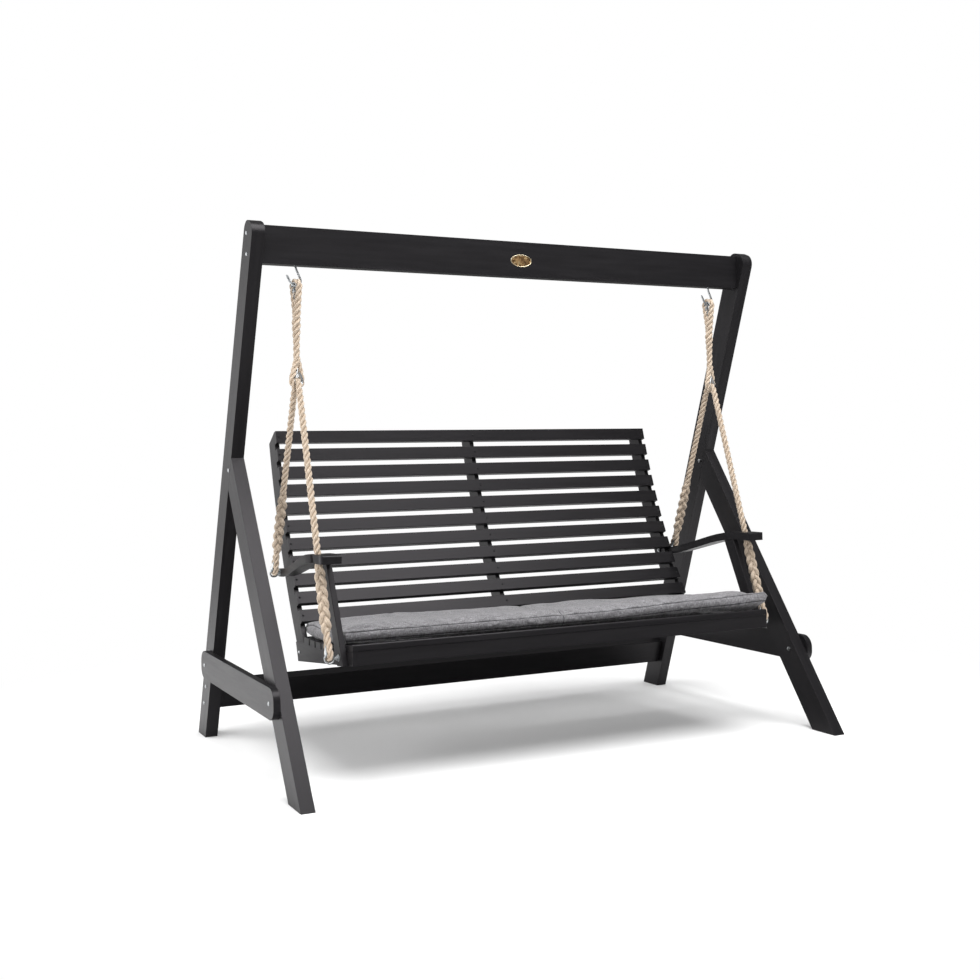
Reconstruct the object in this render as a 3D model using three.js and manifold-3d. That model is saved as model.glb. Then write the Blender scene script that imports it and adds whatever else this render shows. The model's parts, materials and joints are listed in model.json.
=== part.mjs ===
// A garden porch swing: a timber A-frame stand carries a slatted bench on four rope legs.
// Millimetres, +Z up, floor at z = 0, sitter faces -Y, X runs along the bench.
import * as THREE from 'three';
import { mergeVertices } from 'three/addons/utils/BufferGeometryUtils.js';
import Module from 'manifold-3d';

const wasm = await Module();
wasm.setup();

const degrees = Math.PI / 180;

// Clearances
const fit = 0.3; // between a cut piece and its neighbour
const holeFit = 0.3; // round a bolt, on the radius

// Stand timbers
const timberThick = 42;
const timberDeep = 92;
const standWidth = 1900; // over the outer faces of the posts
const standDepth = 1157; // from the toe of the strut to the heel of the post
const postLean = 20.8 * degrees; // tops lean forward
const postLength = 1807.5; // along the centre line, from the floor to the square cut
const postTopRadius = 38;
const strutLean = 35.8 * degrees;
const tenonThick = 14;
const tenonDeep = 40;
const tenonRoot = 3; // the tenon starts this deep in the strut
const tenonShoulder = 12; // left at each end of the seam

// Beam, stretcher and side braces
const beamHigh = 120;
const beamUnderPostEnd = 127.7; // its underside below the middle of the post's cut end
const beamBack = 3.4; // middle of the beam behind the centre lines of the posts
const stretcherMiddle = 160; // from the floor along the post
const braceThick = 21;
const braceHigh = 92;
const braceMiddleZ = 261;
const braceEndRadius = 40;
const braceBoltInset = 46; // from each end of a brace
const braceBoltAhead = { front: 22, rear: 30 }; // ahead of the strut's and post's centre lines

// Bolts
const boltRadius = 4;
const boltSides = 8;
const beamBoltSides = 12;
const boltHeadRadius = 8;
const boltHeadThick = 4;
const nutRadius = 7.5;
const nutThick = 6;
const beamBoltLength = 100;
const beamBoltSpacing = 66;
const beamBoltRise = 29; // lower beam bolt above the underside of the beam
const strutBoltInset = 18; // behind the seam, in the post
const strutBoltUp = 0.55; // place along the seam, from crotch to knife edge

// Badge, left bare
const badgeWide = 80;
const badgeHigh = 43;
const badgeThick = 1.5;
const badgeCrown = 1;
const badgeUp = 55; // its middle above the underside of the beam

// Screw hooks
const hookWireRadius = 3.5;
const hookDrop = 64; // from the beam down to the wire's centre at its lowest
const hookInside = 15; // radius of the bend, to the wire's centre
const hookShankInBeam = 45;
const hookNeck = 8; // straight stretch under the beam
const hookSteps = 30; // rings along the wire
const hookSides = 6;
const hookTipOut = 35;
const hookTipUp = 34;

// Back of the bench. Its own origin is the top front edge of the top slat.
const swayRoom = 96; // between each arm and the post beside it
const slatThick = 20;
const backSlatCount = 11;
const backSlatHigh = 40;
const backSlatPitch = 63.5;
const backRadius = 2200;
const backTopLean = 14.9 * degrees;
const stileThick = 16;
const stileDeep = 65;
const stileTopBevel = 21; // rear edge stops this much lower
const lapRoot = 20; // the lap's tongue starts this far up in the stile

// Seat of the bench
const seatSlatCount = 8;
const seatSlatWide = 48;
const seatSlatGap = 9;
const seatRadius = 2000;
const seatLowY = -370; // where the seat is lowest
const seatLowZ = -663;
const seatRearY = -292; // rear edge of the rearmost slat
const nosingRadius = 6;
const sideRailRearY = -206.5;
const sideRailHeelY = -229;
const sideRailHeelZ = -748;
const sideRailToeZ = -691;
const stileFootFrontZ = -681;
const stileFootRearZ = -688;
const frontRailThick = 20;

// Arms
const armPostThick = 18;
const armPostDeep = 46;
const armPostLean = 26 * degrees;
const armPostFrontY = -705; // front edge where it meets the foot of the rail
const armThick = 26;
const armWide = 66;
const armRearWide = 28;
const armFrontY = -655;
const armRearY = -112;
const armFrontTopZ = -377;
const armRearTopZ = -457;
const armLevelY = -588; // the level front part ends here
const armTaperY = -520; // the outer edge starts to draw in here
const armCorner = 16;
const armTopRound = 8;
const armPadHalf = 20; // flat pad round the rear bolt, before the taper
const armSegments = 12;

// Ropes
const ropeRadius = 10;
const bentRadius = 9.9; // where it is bent, so that straight parts can start on it
const ropeGap = 0.3; // between rope and what it bears on
const ropeSides = 8;
const eyeSteps = 18; // rings along the bend of an eye
const eyeArcPoints = 8;
const eyeTail = 0.12; // share of an eye's legs that its bend runs on into them
const eyePast = 1.08; // the legs end this much past the throat, inside the splice
const bendSteps = 10; // rings along the top bend
const ropeOut = 46; // rope plane beyond the end of the bench
const upperRopeDrop = 318; // hook wire to the bend of the lower eye, centre to centre
const topBendY = -385.5; // bend of the lower rope, in the bench's own frame
const topBendZ = 152;
const topEyeLong = 105;
const lowEyeLong = 88;
const endEyeLong = 74;
const spliceLong = 150;
const spliceRadius = 12.5;
const notchSide = 1.5; // between rope and notch
const notchCorner = 10.3;

// Eye bolts
const ringWireRadius = 3;
const ringRadius = 14; // to the wire's centre
const eyeShankRadius = 4;
const ringSides = 6;
const ringSteps = 18;
const eyeRearY = -126;
const eyeRearZ = -469;
const eyeFrontY = -668;
const eyeFrontZ = -675;

// Cushion
const cushionSide = 6; // between the cushion's end and the stile
const cushionDeep = 405;
const cushionThick = 45;
const cushionSkew = 2.55 * degrees;
const cushionBack = 61; // middle of its front edge behind the nosing
const cushionCorner = 22;
const cushionRearThick = 29;
const channelDeep = 5;
const channelWide = 22;
const cushionWall = 0.72; // height of its sides, as a share of its thickness
const cushionThinFrom = 0.55; // it thins from here to its rear, as a share of half its depth
const cushionPull = 5; // how far its sides are drawn in at half height

// Colours and finishes
function finish(color, roughness, metalness) {
  return new THREE.MeshStandardMaterial({ color, roughness, metalness });
}
const blackPaint = () => finish(0x2b2b2d, 0.55, 0);
const galvanised = () => finish(0x9ea2a4, 0.4, 1);
const ropeFibre = () => finish(0xc9b798, 0.9, 0);
const greyCloth = () => finish(0x8d8b90, 0.95, 0);
const agedBrass = () => finish(0xb08a55, 0.45, 0.9);

// Joining and cutting
function toSolid(geometry) {
  const bare = geometry.clone();
  bare.deleteAttribute('normal');
  bare.deleteAttribute('uv');
  const merged = mergeVertices(bare, 1e-3);
  return new wasm.Manifold(new wasm.Mesh({
    numProp: 3,
    vertProperties: new Float32Array(merged.attributes.position.array),
    triVerts: new Uint32Array(merged.index.array),
  }));
}

function toGeometry(solid) {
  const mesh = solid.getMesh();
  const geometry = new THREE.BufferGeometry();
  geometry.setAttribute('position', new THREE.BufferAttribute(mesh.vertProperties, 3));
  geometry.setIndex(new THREE.BufferAttribute(mesh.triVerts, 1));
  geometry.computeVertexNormals();
  return geometry;
}

function union(solids) {
  return solids.reduce((whole, next) => whole.add(next));
}

function cut(solid, cutters) {
  return cutters.reduce((whole, cutter) => whole.subtract(cutter), solid);
}

// Outlines. A corner is [across, up] or [across, up, radius].
function outline(corners) {
  const shape = new THREE.Shape();
  corners.forEach(([across, up, radius = 0], index) => {
    const corner = new THREE.Vector2(across, up);
    if (radius === 0) {
      if (index === 0) shape.moveTo(across, up);
      else shape.lineTo(across, up);
      return;
    }
    const [backAcross, backUp] = corners[(index + corners.length - 1) % corners.length];
    const [nextAcross, nextUp] = corners[(index + 1) % corners.length];
    const toBack = new THREE.Vector2(backAcross, backUp).sub(corner).normalize();
    const toNext = new THREE.Vector2(nextAcross, nextUp).sub(corner).normalize();
    const half = Math.acos(toBack.dot(toNext)) / 2;
    const start = corner.clone().addScaledVector(toBack, radius / Math.tan(half));
    const end = corner.clone().addScaledVector(toNext, radius / Math.tan(half));
    const inward = toBack.clone().add(toNext).normalize();
    const centre = corner.clone().addScaledVector(inward, radius / Math.sin(half));
    const clockwise = toBack.cross(toNext) > 0;
    const startAngle = Math.atan2(start.y - centre.y, start.x - centre.x);
    const endAngle = Math.atan2(end.y - centre.y, end.x - centre.x);
    if (index === 0) shape.moveTo(start.x, start.y);
    else shape.lineTo(start.x, start.y);
    shape.absarc(centre.x, centre.y, radius, startAngle, endAngle, clockwise);
  });
  return shape;
}

// Turns a flat outline's (across, up, depth) into (y, z, x)
const standUp = new THREE.Matrix4().makeBasis(
  new THREE.Vector3(0, 1, 0),
  new THREE.Vector3(0, 0, 1),
  new THREE.Vector3(1, 0, 0),
);

// A board cut to a side-view outline, between two x planes
function sideBoard(shape, [xLow, xHigh], curveSegments = 5) {
  const options = { depth: xHigh - xLow, bevelEnabled: false, curveSegments };
  const geometry = new THREE.ExtrudeGeometry(shape, options);
  geometry.applyMatrix4(standUp);
  geometry.translate(xLow, 0, 0);
  return toSolid(geometry);
}

// The x range of a board on the left (-1) or right (+1), from its inner to its outer face
function spanX(side, inner, outer) {
  return side > 0 ? [inner, outer] : [-outer, -inner];
}

// A straight round bar, which may taper
function bar(from, to, radiusFrom, radiusTo, sides) {
  const along = to.clone().sub(from);
  const geometry = new THREE.CylinderGeometry(radiusTo, radiusFrom, along.length(), sides);
  const turn = new THREE.Quaternion();
  turn.setFromUnitVectors(new THREE.Vector3(0, 1, 0), along.clone().normalize());
  geometry.applyQuaternion(turn);
  const middle = from.clone().add(to).multiplyScalar(0.5);
  geometry.translate(middle.x, middle.y, middle.z);
  return toSolid(geometry);
}

// A round bar along X
function crossBar(radius, [xLow, xHigh], y, z, sides = 12) {
  return bar(new THREE.Vector3(xLow, y, z), new THREE.Vector3(xHigh, y, z), radius, radius, sides);
}

// A round tube through a list of points
function tube(points, steps, radius, sides) {
  const corners = [];
  for (let side = 0; side < sides; side += 1) {
    const angle = (side / sides) * 2 * Math.PI;
    corners.push(new THREE.Vector2(radius * Math.cos(angle), radius * Math.sin(angle)));
  }
  const extrudePath = new THREE.CatmullRomCurve3(points, false, 'centripetal');
  const geometry = new THREE.ExtrudeGeometry(new THREE.Shape(corners), { steps, extrudePath });
  return toSolid(geometry);
}

const swing = new THREE.Group();
const stand = new THREE.Group();
const bench = new THREE.Group();
swing.add(stand, bench);

function addPiece(parent, name, solid, material) {
  const mesh = new THREE.Mesh(toGeometry(solid), material);
  mesh.name = name;
  parent.add(mesh);
  return mesh;
}

const sides = [
  { side: -1, name: 'left' },
  { side: 1, name: 'right' },
];

// Stand: where the timbers lie in the side view
const heelY = standDepth / 2;
const toeY = -standDepth / 2;
const postFootHalf = timberDeep / 2 / Math.cos(postLean);
const postFootY = heelY - postFootHalf;
const postFrontSlope = -Math.tan(postLean);
const strutSlope = Math.tan(strutLean);
const strutFoot = timberDeep / Math.cos(strutLean);
const postInner = standWidth / 2 - timberThick;
const postOuter = standWidth / 2;

// The underside of the beam, and the upright plane of beam, hooks and rope tops
const beamBottomZ = postLength * Math.cos(postLean) - beamUnderPostEnd;
const hangY = postFootY + postFrontSlope * (beamBottomZ + beamHigh / 2) + beamBack;

// The bench fills the width between the posts, less its arms and the room to sway
const benchLength = 2 * (postInner - swayRoom - armWide);

// A point on a post: rearward from its centre line, and up along it
function onPost(rearward, along) {
  return [
    postFootY - along * Math.sin(postLean) + rearward * Math.cos(postLean),
    along * Math.cos(postLean) + rearward * Math.sin(postLean),
  ];
}

// Where an edge that leaves the floor at y meets the front face of the post
function meetPost(floorY, slope, clearance) {
  const faceFoot = postFootY - postFootHalf - clearance / Math.cos(postLean);
  const z = (faceFoot - floorY) / (slope - postFrontSlope);
  return [floorY + slope * z, z];
}

const crotch = meetPost(toeY + strutFoot, strutSlope, fit);
const knifeEdge = meetPost(toeY, strutSlope, fit);

// The tenon of the strut, set into the post's front face
function tenonOutline(clearance) {
  const seamAlong = ([, z]) => z / Math.cos(postLean) + (timberDeep / 2) * Math.tan(postLean);
  const low = seamAlong(crotch) + tenonShoulder - clearance;
  const high = seamAlong(knifeEdge) - tenonShoulder + clearance;
  const face = -timberDeep / 2;
  const rootY = face - fit - tenonRoot;
  return outline([
    onPost(rootY, low),
    onPost(face + tenonDeep + clearance, low),
    onPost(face + tenonDeep + clearance, high),
    onPost(rootY, high),
  ]);
}

const seamMiddleZ = crotch[1] + (knifeEdge[1] - crotch[1]) * strutBoltUp;
const seamAlong = seamMiddleZ / Math.cos(postLean) + (timberDeep / 2) * Math.tan(postLean);
const [strutBoltY, strutBoltZ] = onPost(-timberDeep / 2 + strutBoltInset, seamAlong);
const beamBoltZ = [beamBottomZ + beamBoltRise, beamBottomZ + beamBoltRise + beamBoltSpacing];
const strutMiddleY = toeY + strutFoot / 2 + strutSlope * braceMiddleZ;
const postMiddleY = postFootY + postFrontSlope * braceMiddleZ;
const braceBoltY = {
  front: strutMiddleY - braceBoltAhead.front,
  rear: postMiddleY - braceBoltAhead.rear,
};
const braceFrontY = braceBoltY.front - braceBoltInset;
const braceRearY = braceBoltY.rear + braceBoltInset;

// A bolt through two timbers: round head outside, nut inside
function throughBolt(side, outer, inner, y, z) {
  return union([
    crossBar(boltHeadRadius, spanX(side, outer, outer + boltHeadThick), y, z),
    crossBar(boltRadius, spanX(side, inner - nutThick, outer + boltHeadThick / 2), y, z, boltSides),
    crossBar(nutRadius, spanX(side, inner - nutThick, inner), y, z, 6),
  ]);
}

// A bolt hole on one side of the stand
function boltHole(side, inner, outer, y, z) {
  return crossBar(boltRadius + holeFit, spanX(side, inner - fit, outer + fit), y, z, boltSides);
}

for (const { side, name } of sides) {
  const postSpan = spanX(side, postInner, postOuter);
  const tenonInner = postInner + (timberThick - tenonThick) / 2;
  const tenonSpan = spanX(side, tenonInner, tenonInner + tenonThick);
  const mortiseSpan = spanX(side, tenonInner - fit, tenonInner + tenonThick + fit);

  // Post, leaning forward, with its foot cut level and its head rounded
  const footRise = (timberDeep / 2) * Math.tan(postLean);
  const postShape = outline([
    onPost(-timberDeep / 2, footRise),
    onPost(timberDeep / 2, -footRise),
    [...onPost(timberDeep / 2, postLength), postTopRadius],
    [...onPost(-timberDeep / 2, postLength), postTopRadius],
  ]);
  const post = cut(sideBoard(postShape, postSpan), [
    sideBoard(tenonOutline(fit), mortiseSpan),
    boltHole(side, postInner, postOuter, strutBoltY, strutBoltZ),
    boltHole(side, postInner, postOuter, braceBoltY.rear, braceMiddleZ),
    ...beamBoltZ.map((z) => boltHole(side, postInner, postOuter, hangY, z)),
  ]);
  addPiece(stand, `${name}_post`, post, blackPaint());

  // Front strut, tenoned into the post
  const strutShape = outline([[toeY, 0], [toeY + strutFoot, 0], crotch, knifeEdge]);
  const strut = cut(
    union([sideBoard(strutShape, postSpan), sideBoard(tenonOutline(0), tenonSpan)]),
    [
      boltHole(side, postInner, postOuter, strutBoltY, strutBoltZ),
      boltHole(side, postInner, postOuter, braceBoltY.front, braceMiddleZ),
    ],
  );
  addPiece(stand, `${name}_front_strut`, strut, blackPaint());

  // Side brace, on the outer faces of post and strut
  const braceLowZ = braceMiddleZ - braceHigh / 2;
  const braceHighZ = braceMiddleZ + braceHigh / 2;
  const braceShape = outline([
    [braceFrontY, braceLowZ, braceEndRadius],
    [braceRearY, braceLowZ, braceEndRadius],
    [braceRearY, braceHighZ, braceEndRadius],
    [braceFrontY, braceHighZ, braceEndRadius],
  ]);
  const braceOuter = postOuter + braceThick;
  const brace = cut(sideBoard(braceShape, spanX(side, postOuter, braceOuter)), [
    boltHole(side, postOuter, braceOuter, braceBoltY.front, braceMiddleZ),
    boltHole(side, postOuter, braceOuter, braceBoltY.rear, braceMiddleZ),
  ]);
  addPiece(stand, `${name}_side_brace`, brace, blackPaint());

  // Bolts of this side
  for (const [place, y] of Object.entries(braceBoltY)) {
    const bolt = throughBolt(side, braceOuter, postInner, y, braceMiddleZ);
    addPiece(stand, `${name}_brace_bolt_${place}`, bolt, galvanised());
  }
  const strutBolt = throughBolt(side, postOuter, postInner, strutBoltY, strutBoltZ);
  addPiece(stand, `${name}_strut_bolt`, strutBolt, galvanised());
  beamBoltZ.forEach((z, index) => {
    const headSpan = spanX(side, postOuter, postOuter + boltHeadThick);
    const shankSpan = spanX(side, postOuter - beamBoltLength, postOuter + boltHeadThick / 2);
    const bolt = union([
      crossBar(boltHeadRadius, headSpan, hangY, z),
      crossBar(boltRadius, shankSpan, hangY, z, beamBoltSides),
    ]);
    addPiece(stand, `${name}_beam_bolt_${['lower', 'upper'][index]}`, bolt, galvanised());
  });
}

// Beam between the posts, bored for its bolts and hooks
const ropeX = benchLength / 2 + ropeOut;
const beamSpan = [-postInner, postInner];
const beamShape = outline([
  [hangY - timberThick / 2, beamBottomZ],
  [hangY + timberThick / 2, beamBottomZ],
  [hangY + timberThick / 2, beamBottomZ + beamHigh],
  [hangY - timberThick / 2, beamBottomZ + beamHigh],
]);
const beamHoles = sides.flatMap(({ side }) => [
  ...beamBoltZ.map((z) => boltHole(side, postOuter - beamBoltLength, postInner, hangY, z)),
  bar(
    new THREE.Vector3(side * ropeX, hangY, beamBottomZ - fit),
    new THREE.Vector3(side * ropeX, hangY, beamBottomZ + hookShankInBeam + fit),
    hookWireRadius + holeFit,
    hookWireRadius + holeFit,
    8,
  ),
]);
addPiece(stand, 'beam', cut(sideBoard(beamShape, beamSpan), beamHoles), blackPaint());

// Rear stretcher between the posts, tilted as they are
const stretcherShape = outline([
  onPost(-timberThick / 2, stretcherMiddle - timberDeep / 2),
  onPost(timberThick / 2, stretcherMiddle - timberDeep / 2),
  onPost(timberThick / 2, stretcherMiddle + timberDeep / 2),
  onPost(-timberThick / 2, stretcherMiddle + timberDeep / 2),
]);
addPiece(stand, 'rear_stretcher', sideBoard(stretcherShape, beamSpan), blackPaint());

// Oval badge, bare, on the front of the beam
const badgeShape = new THREE.Shape();
const badgeEdge = 2 * badgeCrown;
badgeShape.absellipse(0, 0, badgeWide / 2 - badgeEdge, badgeHigh / 2 - badgeEdge, 0, 2 * Math.PI);
const badgeGeometry = new THREE.ExtrudeGeometry(badgeShape, {
  depth: badgeThick - badgeCrown,
  bevelEnabled: true,
  bevelThickness: badgeCrown,
  bevelSize: badgeEdge,
  bevelSegments: 2,
  curveSegments: 14,
});
const badge = cut(toSolid(badgeGeometry), [
  toSolid(new THREE.BoxGeometry(2 * badgeWide, 2 * badgeHigh, 2 * badgeCrown)
    .translate(0, 0, -badgeCrown)),
]);
const badgeMesh = addPiece(stand, 'badge', badge, agedBrass());
badgeMesh.rotation.x = 90 * degrees;
badgeMesh.position.set(0, hangY - timberThick / 2, beamBottomZ + badgeUp);

// Screw hooks, open towards the left
const hookZ = beamBottomZ - hookDrop;
for (const { side, name } of sides) {
  // Sideways and up from the lowest point: the shank, the kink, the bend and the tip
  const points = [
    [0, hookDrop + hookShankInBeam],
    [0, hookDrop + hookShankInBeam / 2],
    [0, hookDrop],
    [0, hookDrop - hookNeck],
    [hookInside * 0.62, hookDrop * 0.53],
    [hookInside, hookDrop * 0.31],
    [hookInside * 0.87, hookInside * 0.5],
    [hookInside * 0.5, hookInside * 0.13],
    [0, 0],
    [-hookInside * 0.6, hookInside * 0.22],
    [-hookTipOut * 0.66, hookTipUp * 0.42],
    [-hookTipOut * 0.84, hookTipUp * 0.72],
    [-hookTipOut, hookTipUp],
  ];
  const path = points.map(([x, z]) => new THREE.Vector3(side * ropeX + x, hangY, hookZ + z));
  addPiece(stand, `${name}_hook`, tube(path, hookSteps, hookWireRadius, hookSides), galvanised());
}

// The side view as vectors in the rope plane of one side
function sideView(side, y, z) {
  return new THREE.Vector3(side * ropeX, y, z);
}

// An eye: a rope bent round a wire or rope, with two legs that run together at its throat
function ropeEye(centre, up, across, bend, long) {
  const point = (u, a) => centre.clone().addScaledVector(up, u).addScaledVector(across, a);
  const tangent = Math.acos(bend / long);
  const rise = bend * Math.cos(tangent);
  const out = bend * Math.sin(tangent);
  const onLeg = (hand, share) => point(rise + (long - rise) * share, hand * out * (1 - share));
  const arc = [];
  for (let step = 0; step <= eyeArcPoints; step += 1) {
    const angle = tangent + (2 * (Math.PI - tangent) * step) / eyeArcPoints;
    arc.push(point(bend * Math.cos(angle), bend * Math.sin(angle)));
  }
  const bent = [onLeg(1, eyeTail), ...arc, onLeg(-1, eyeTail)];
  return union([
    tube(bent, eyeSteps, bentRadius, ropeSides),
    bar(onLeg(1, eyeTail / 2), onLeg(1, eyePast), ropeRadius, ropeRadius, ropeSides),
    bar(onLeg(-1, eyeTail / 2), onLeg(-1, eyePast), ropeRadius, ropeRadius, ropeSides),
  ]);
}

// Upper ropes: one eye round the hook, one round the bend of the lower rope
const hookBend = hookWireRadius + 2 * ropeGap + ropeRadius;
const ropeBend = 2 * ropeRadius + 3 * ropeGap;
const lowBendZ = hookZ - upperRopeDrop;
const saddleZ = lowBendZ + ropeBend;
const upward = new THREE.Vector3(0, 0, 1);
const downward = new THREE.Vector3(0, 0, -1);
const alongX = new THREE.Vector3(1, 0, 0);
const alongY = new THREE.Vector3(0, 1, 0);
for (const { side, name } of sides) {
  const topThroat = sideView(side, hangY, hookZ - topEyeLong);
  const lowThroat = sideView(side, hangY, saddleZ + lowEyeLong);
  const middle = topThroat.clone().add(lowThroat).multiplyScalar(0.5);
  const rope = union([
    ropeEye(sideView(side, hangY, hookZ), downward, alongY, hookBend, topEyeLong),
    bar(topThroat, middle, spliceRadius, ropeRadius, ropeSides),
    bar(middle, lowThroat, ropeRadius, spliceRadius, ropeSides),
    ropeEye(sideView(side, hangY, saddleZ), upward, alongX, ropeBend, lowEyeLong),
  ]);
  addPiece(swing, `${name}_upper_rope`, rope, ropeFibre());
}

// Bench, hung so that the bend of its ropes sits in the eyes of the upper ropes
bench.position.set(0, hangY - topBendY, saddleZ - topBendZ);

// Curve of the back: a point down its front face, set behind it by some depth
function onBack(down, behind) {
  const lean = backTopLean + down / backRadius;
  return [
    backRadius * (Math.cos(lean) - Math.cos(backTopLean)) + behind * Math.cos(lean),
    backRadius * (Math.sin(backTopLean) - Math.sin(lean)) - behind * Math.sin(lean),
  ];
}

// Curve of the seat: the height at a place, some depth below the slat tops
function seatZ(y, below) {
  const radius = seatRadius + below;
  const centreZ = seatLowZ + seatRadius;
  return centreZ - Math.sqrt(radius ** 2 - (y - seatLowY) ** 2);
}

const benchEnd = benchLength / 2;
const seatPitch = seatSlatWide + seatSlatGap;
const nosingFrontY = seatRearY - seatPitch * (seatSlatCount - 1) - seatSlatWide;
const stileFront = slatThick + fit;
const stileRear = slatThick + fit + stileDeep;

// How far down the back a line at some depth reaches a height
function backReach(z, behind) {
  const lean = Math.asin(
    (backRadius * Math.sin(backTopLean) - z) / (backRadius + behind),
  );
  return (lean - backTopLean) * backRadius;
}

// Stiles: curved behind the back slats, with a half lap into the rails
const railFootZ = (y) => {
  const slope = (sideRailToeZ - sideRailHeelZ) / (nosingFrontY - sideRailHeelY);
  return sideRailHeelZ + slope * (y - sideRailHeelY);
};

function backCurve(behind, from, to, steps) {
  const points = [];
  for (let step = 0; step <= steps; step += 1) {
    points.push(onBack(from + ((to - from) * step) / steps, behind));
  }
  return points;
}

const frontFoot = backReach(stileFootFrontZ, stileFront);
const rearFoot = backReach(stileFootRearZ, stileRear);
const stileShape = outline([
  ...backCurve(stileFront, 0, frontFoot, 24),
  ...backCurve(stileRear, stileTopBevel, rearFoot, 24).reverse(),
]);

// The seam between stile and rail, front and rear corner
const seamFront = onBack(frontFoot, stileFront);
const seamRear = onBack(rearFoot, stileRear);

// The lap runs straight on from the stile, through the rail to its underside and past it
function lapOutline(clearance, past) {
  const slope = Math.tan(backTopLean + frontFoot / backRadius);
  const footSlope = (sideRailToeZ - sideRailHeelZ) / (nosingFrontY - sideRailHeelY);
  const edge = (corner, side) => {
    const drop = (corner[1] - railFootZ(corner[0])) / (1 - slope * footSlope) + past;
    const across = (clearance / Math.cos(Math.atan(slope))) * side;
    return [
      [corner[0] + slope * lapRoot + across, corner[1] + lapRoot],
      [corner[0] - slope * drop + across, corner[1] - drop],
    ];
  };
  const [frontTop, frontLow] = edge(seamFront, -1);
  const [rearTop, rearLow] = edge(seamRear, 1);
  return outline([frontTop, frontLow, rearLow, rearTop]);
}

// Rails: seat-shaped on top, straight below
function railTop(from, to, steps) {
  const points = [];
  for (let step = 0; step <= steps; step += 1) {
    const y = from + ((to - from) * step) / steps;
    points.push([y, seatZ(y, slatThick + fit)]);
  }
  return points;
}

function railOutline(frontY) {
  return outline([
    [frontY, railFootZ(frontY)],
    ...railTop(frontY, seamFront[0], 18),
    [seamFront[0], seamFront[1] - fit],
    [seamRear[0], seamRear[1] - fit],
    [sideRailRearY, seamRear[1] - fit],
    [sideRailHeelY, sideRailHeelZ],
  ]);
}

const lapThick = stileThick / 2;
const stilePlaces = [
  { name: 'left', outer: -benchEnd, inward: 1 },
  { name: 'middle', outer: -stileThick / 2, inward: 1 },
  { name: 'right', outer: benchEnd, inward: -1 },
];

// Holes for the eye bolts, through arms, arm posts, stiles and rails
function eyeHole(side, y, z) {
  const span = spanX(side, benchEnd - stileThick - fit, benchEnd + armWide);
  return crossBar(eyeShankRadius + holeFit, span, y, z, boltSides);
}
const eyeHoles = sides.flatMap(({ side }) => [
  eyeHole(side, eyeRearY, eyeRearZ),
  eyeHole(side, eyeFrontY, eyeFrontZ),
]);

for (const { name, outer, inward } of stilePlaces) {
  const thick = [outer, outer + inward * stileThick].sort((a, b) => a - b);
  const lap = [outer + inward * lapThick, outer + inward * stileThick].sort((a, b) => a - b);
  const pocketStart = outer + inward * (lapThick - fit);
  const pocketEnd = outer + inward * (stileThick + fit);
  const pocket = [pocketStart, pocketEnd].sort((a, b) => a - b);
  const tongue = sideBoard(lapOutline(0, 0), lap);
  const stile = cut(union([sideBoard(stileShape, thick, 1), tongue]), eyeHoles);
  addPiece(bench, `${name}_back_stile`, stile, blackPaint());

  const frontY = name === 'middle' ? nosingFrontY + frontRailThick + fit : nosingFrontY;
  const rail = cut(sideBoard(railOutline(frontY), thick, 1), [
    sideBoard(lapOutline(fit, slatThick), pocket),
    ...eyeHoles,
  ]);
  const railName = name === 'middle' ? 'middle_bearer' : `${name}_side_rail`;
  addPiece(bench, railName, rail, blackPaint());
}

// Back slats, each flat, set along the curve
for (let index = 0; index < backSlatCount; index += 1) {
  const down = backSlatPitch * index;
  const [topY, topZ] = onBack(down, 0);
  const [lowY, lowZ] = onBack(down + backSlatHigh, 0);
  const tilt = Math.atan2(topY - lowY, topZ - lowZ);
  const geometry = new THREE.BoxGeometry(benchLength, slatThick, backSlatHigh);
  geometry.translate(0, slatThick / 2, 0);
  const number = String(index + 1).padStart(2, '0');
  const slat = addPiece(bench, `back_slat_${number}`, toSolid(geometry), blackPaint());
  slat.rotation.x = -tilt;
  slat.position.set(0, (topY + lowY) / 2, (topZ + lowZ) / 2);
}

// Seat slats, the front one with a rounded nosing
for (let index = 0; index < seatSlatCount; index += 1) {
  const isNosing = index === seatSlatCount - 1;
  const middleY = seatRearY - seatPitch * index - seatSlatWide / 2;
  const tilt = Math.asin((middleY - seatLowY) / seatRadius);
  const round = isNosing ? nosingRadius : 0;
  const section = outline([
    [-seatSlatWide / 2, -slatThick],
    [seatSlatWide / 2, -slatThick],
    [seatSlatWide / 2, 0],
    [-seatSlatWide / 2, 0, round],
  ]);
  const name = isNosing ? 'seat_nosing' : `seat_slat_${index + 1}`;
  const slat = addPiece(bench, name, sideBoard(section, [-benchEnd, benchEnd]), blackPaint());
  slat.rotation.x = tilt;
  slat.position.set(0, middleY, seatZ(middleY, 0));
}

// Front rail, between the side rails and under the nosing
const frontRailRearY = nosingFrontY + frontRailThick;
const frontRailShape = outline([
  [nosingFrontY, railFootZ(nosingFrontY)],
  [frontRailRearY, railFootZ(nosingFrontY)],
  [frontRailRearY, seatZ(frontRailRearY, slatThick + fit)],
  [nosingFrontY, seatZ(frontRailRearY, slatThick + fit)],
]);
const railInner = benchEnd - stileThick;
const frontRail = sideBoard(frontRailShape, [-railInner, railInner]);
addPiece(bench, 'front_rail', frontRail, blackPaint());

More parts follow.
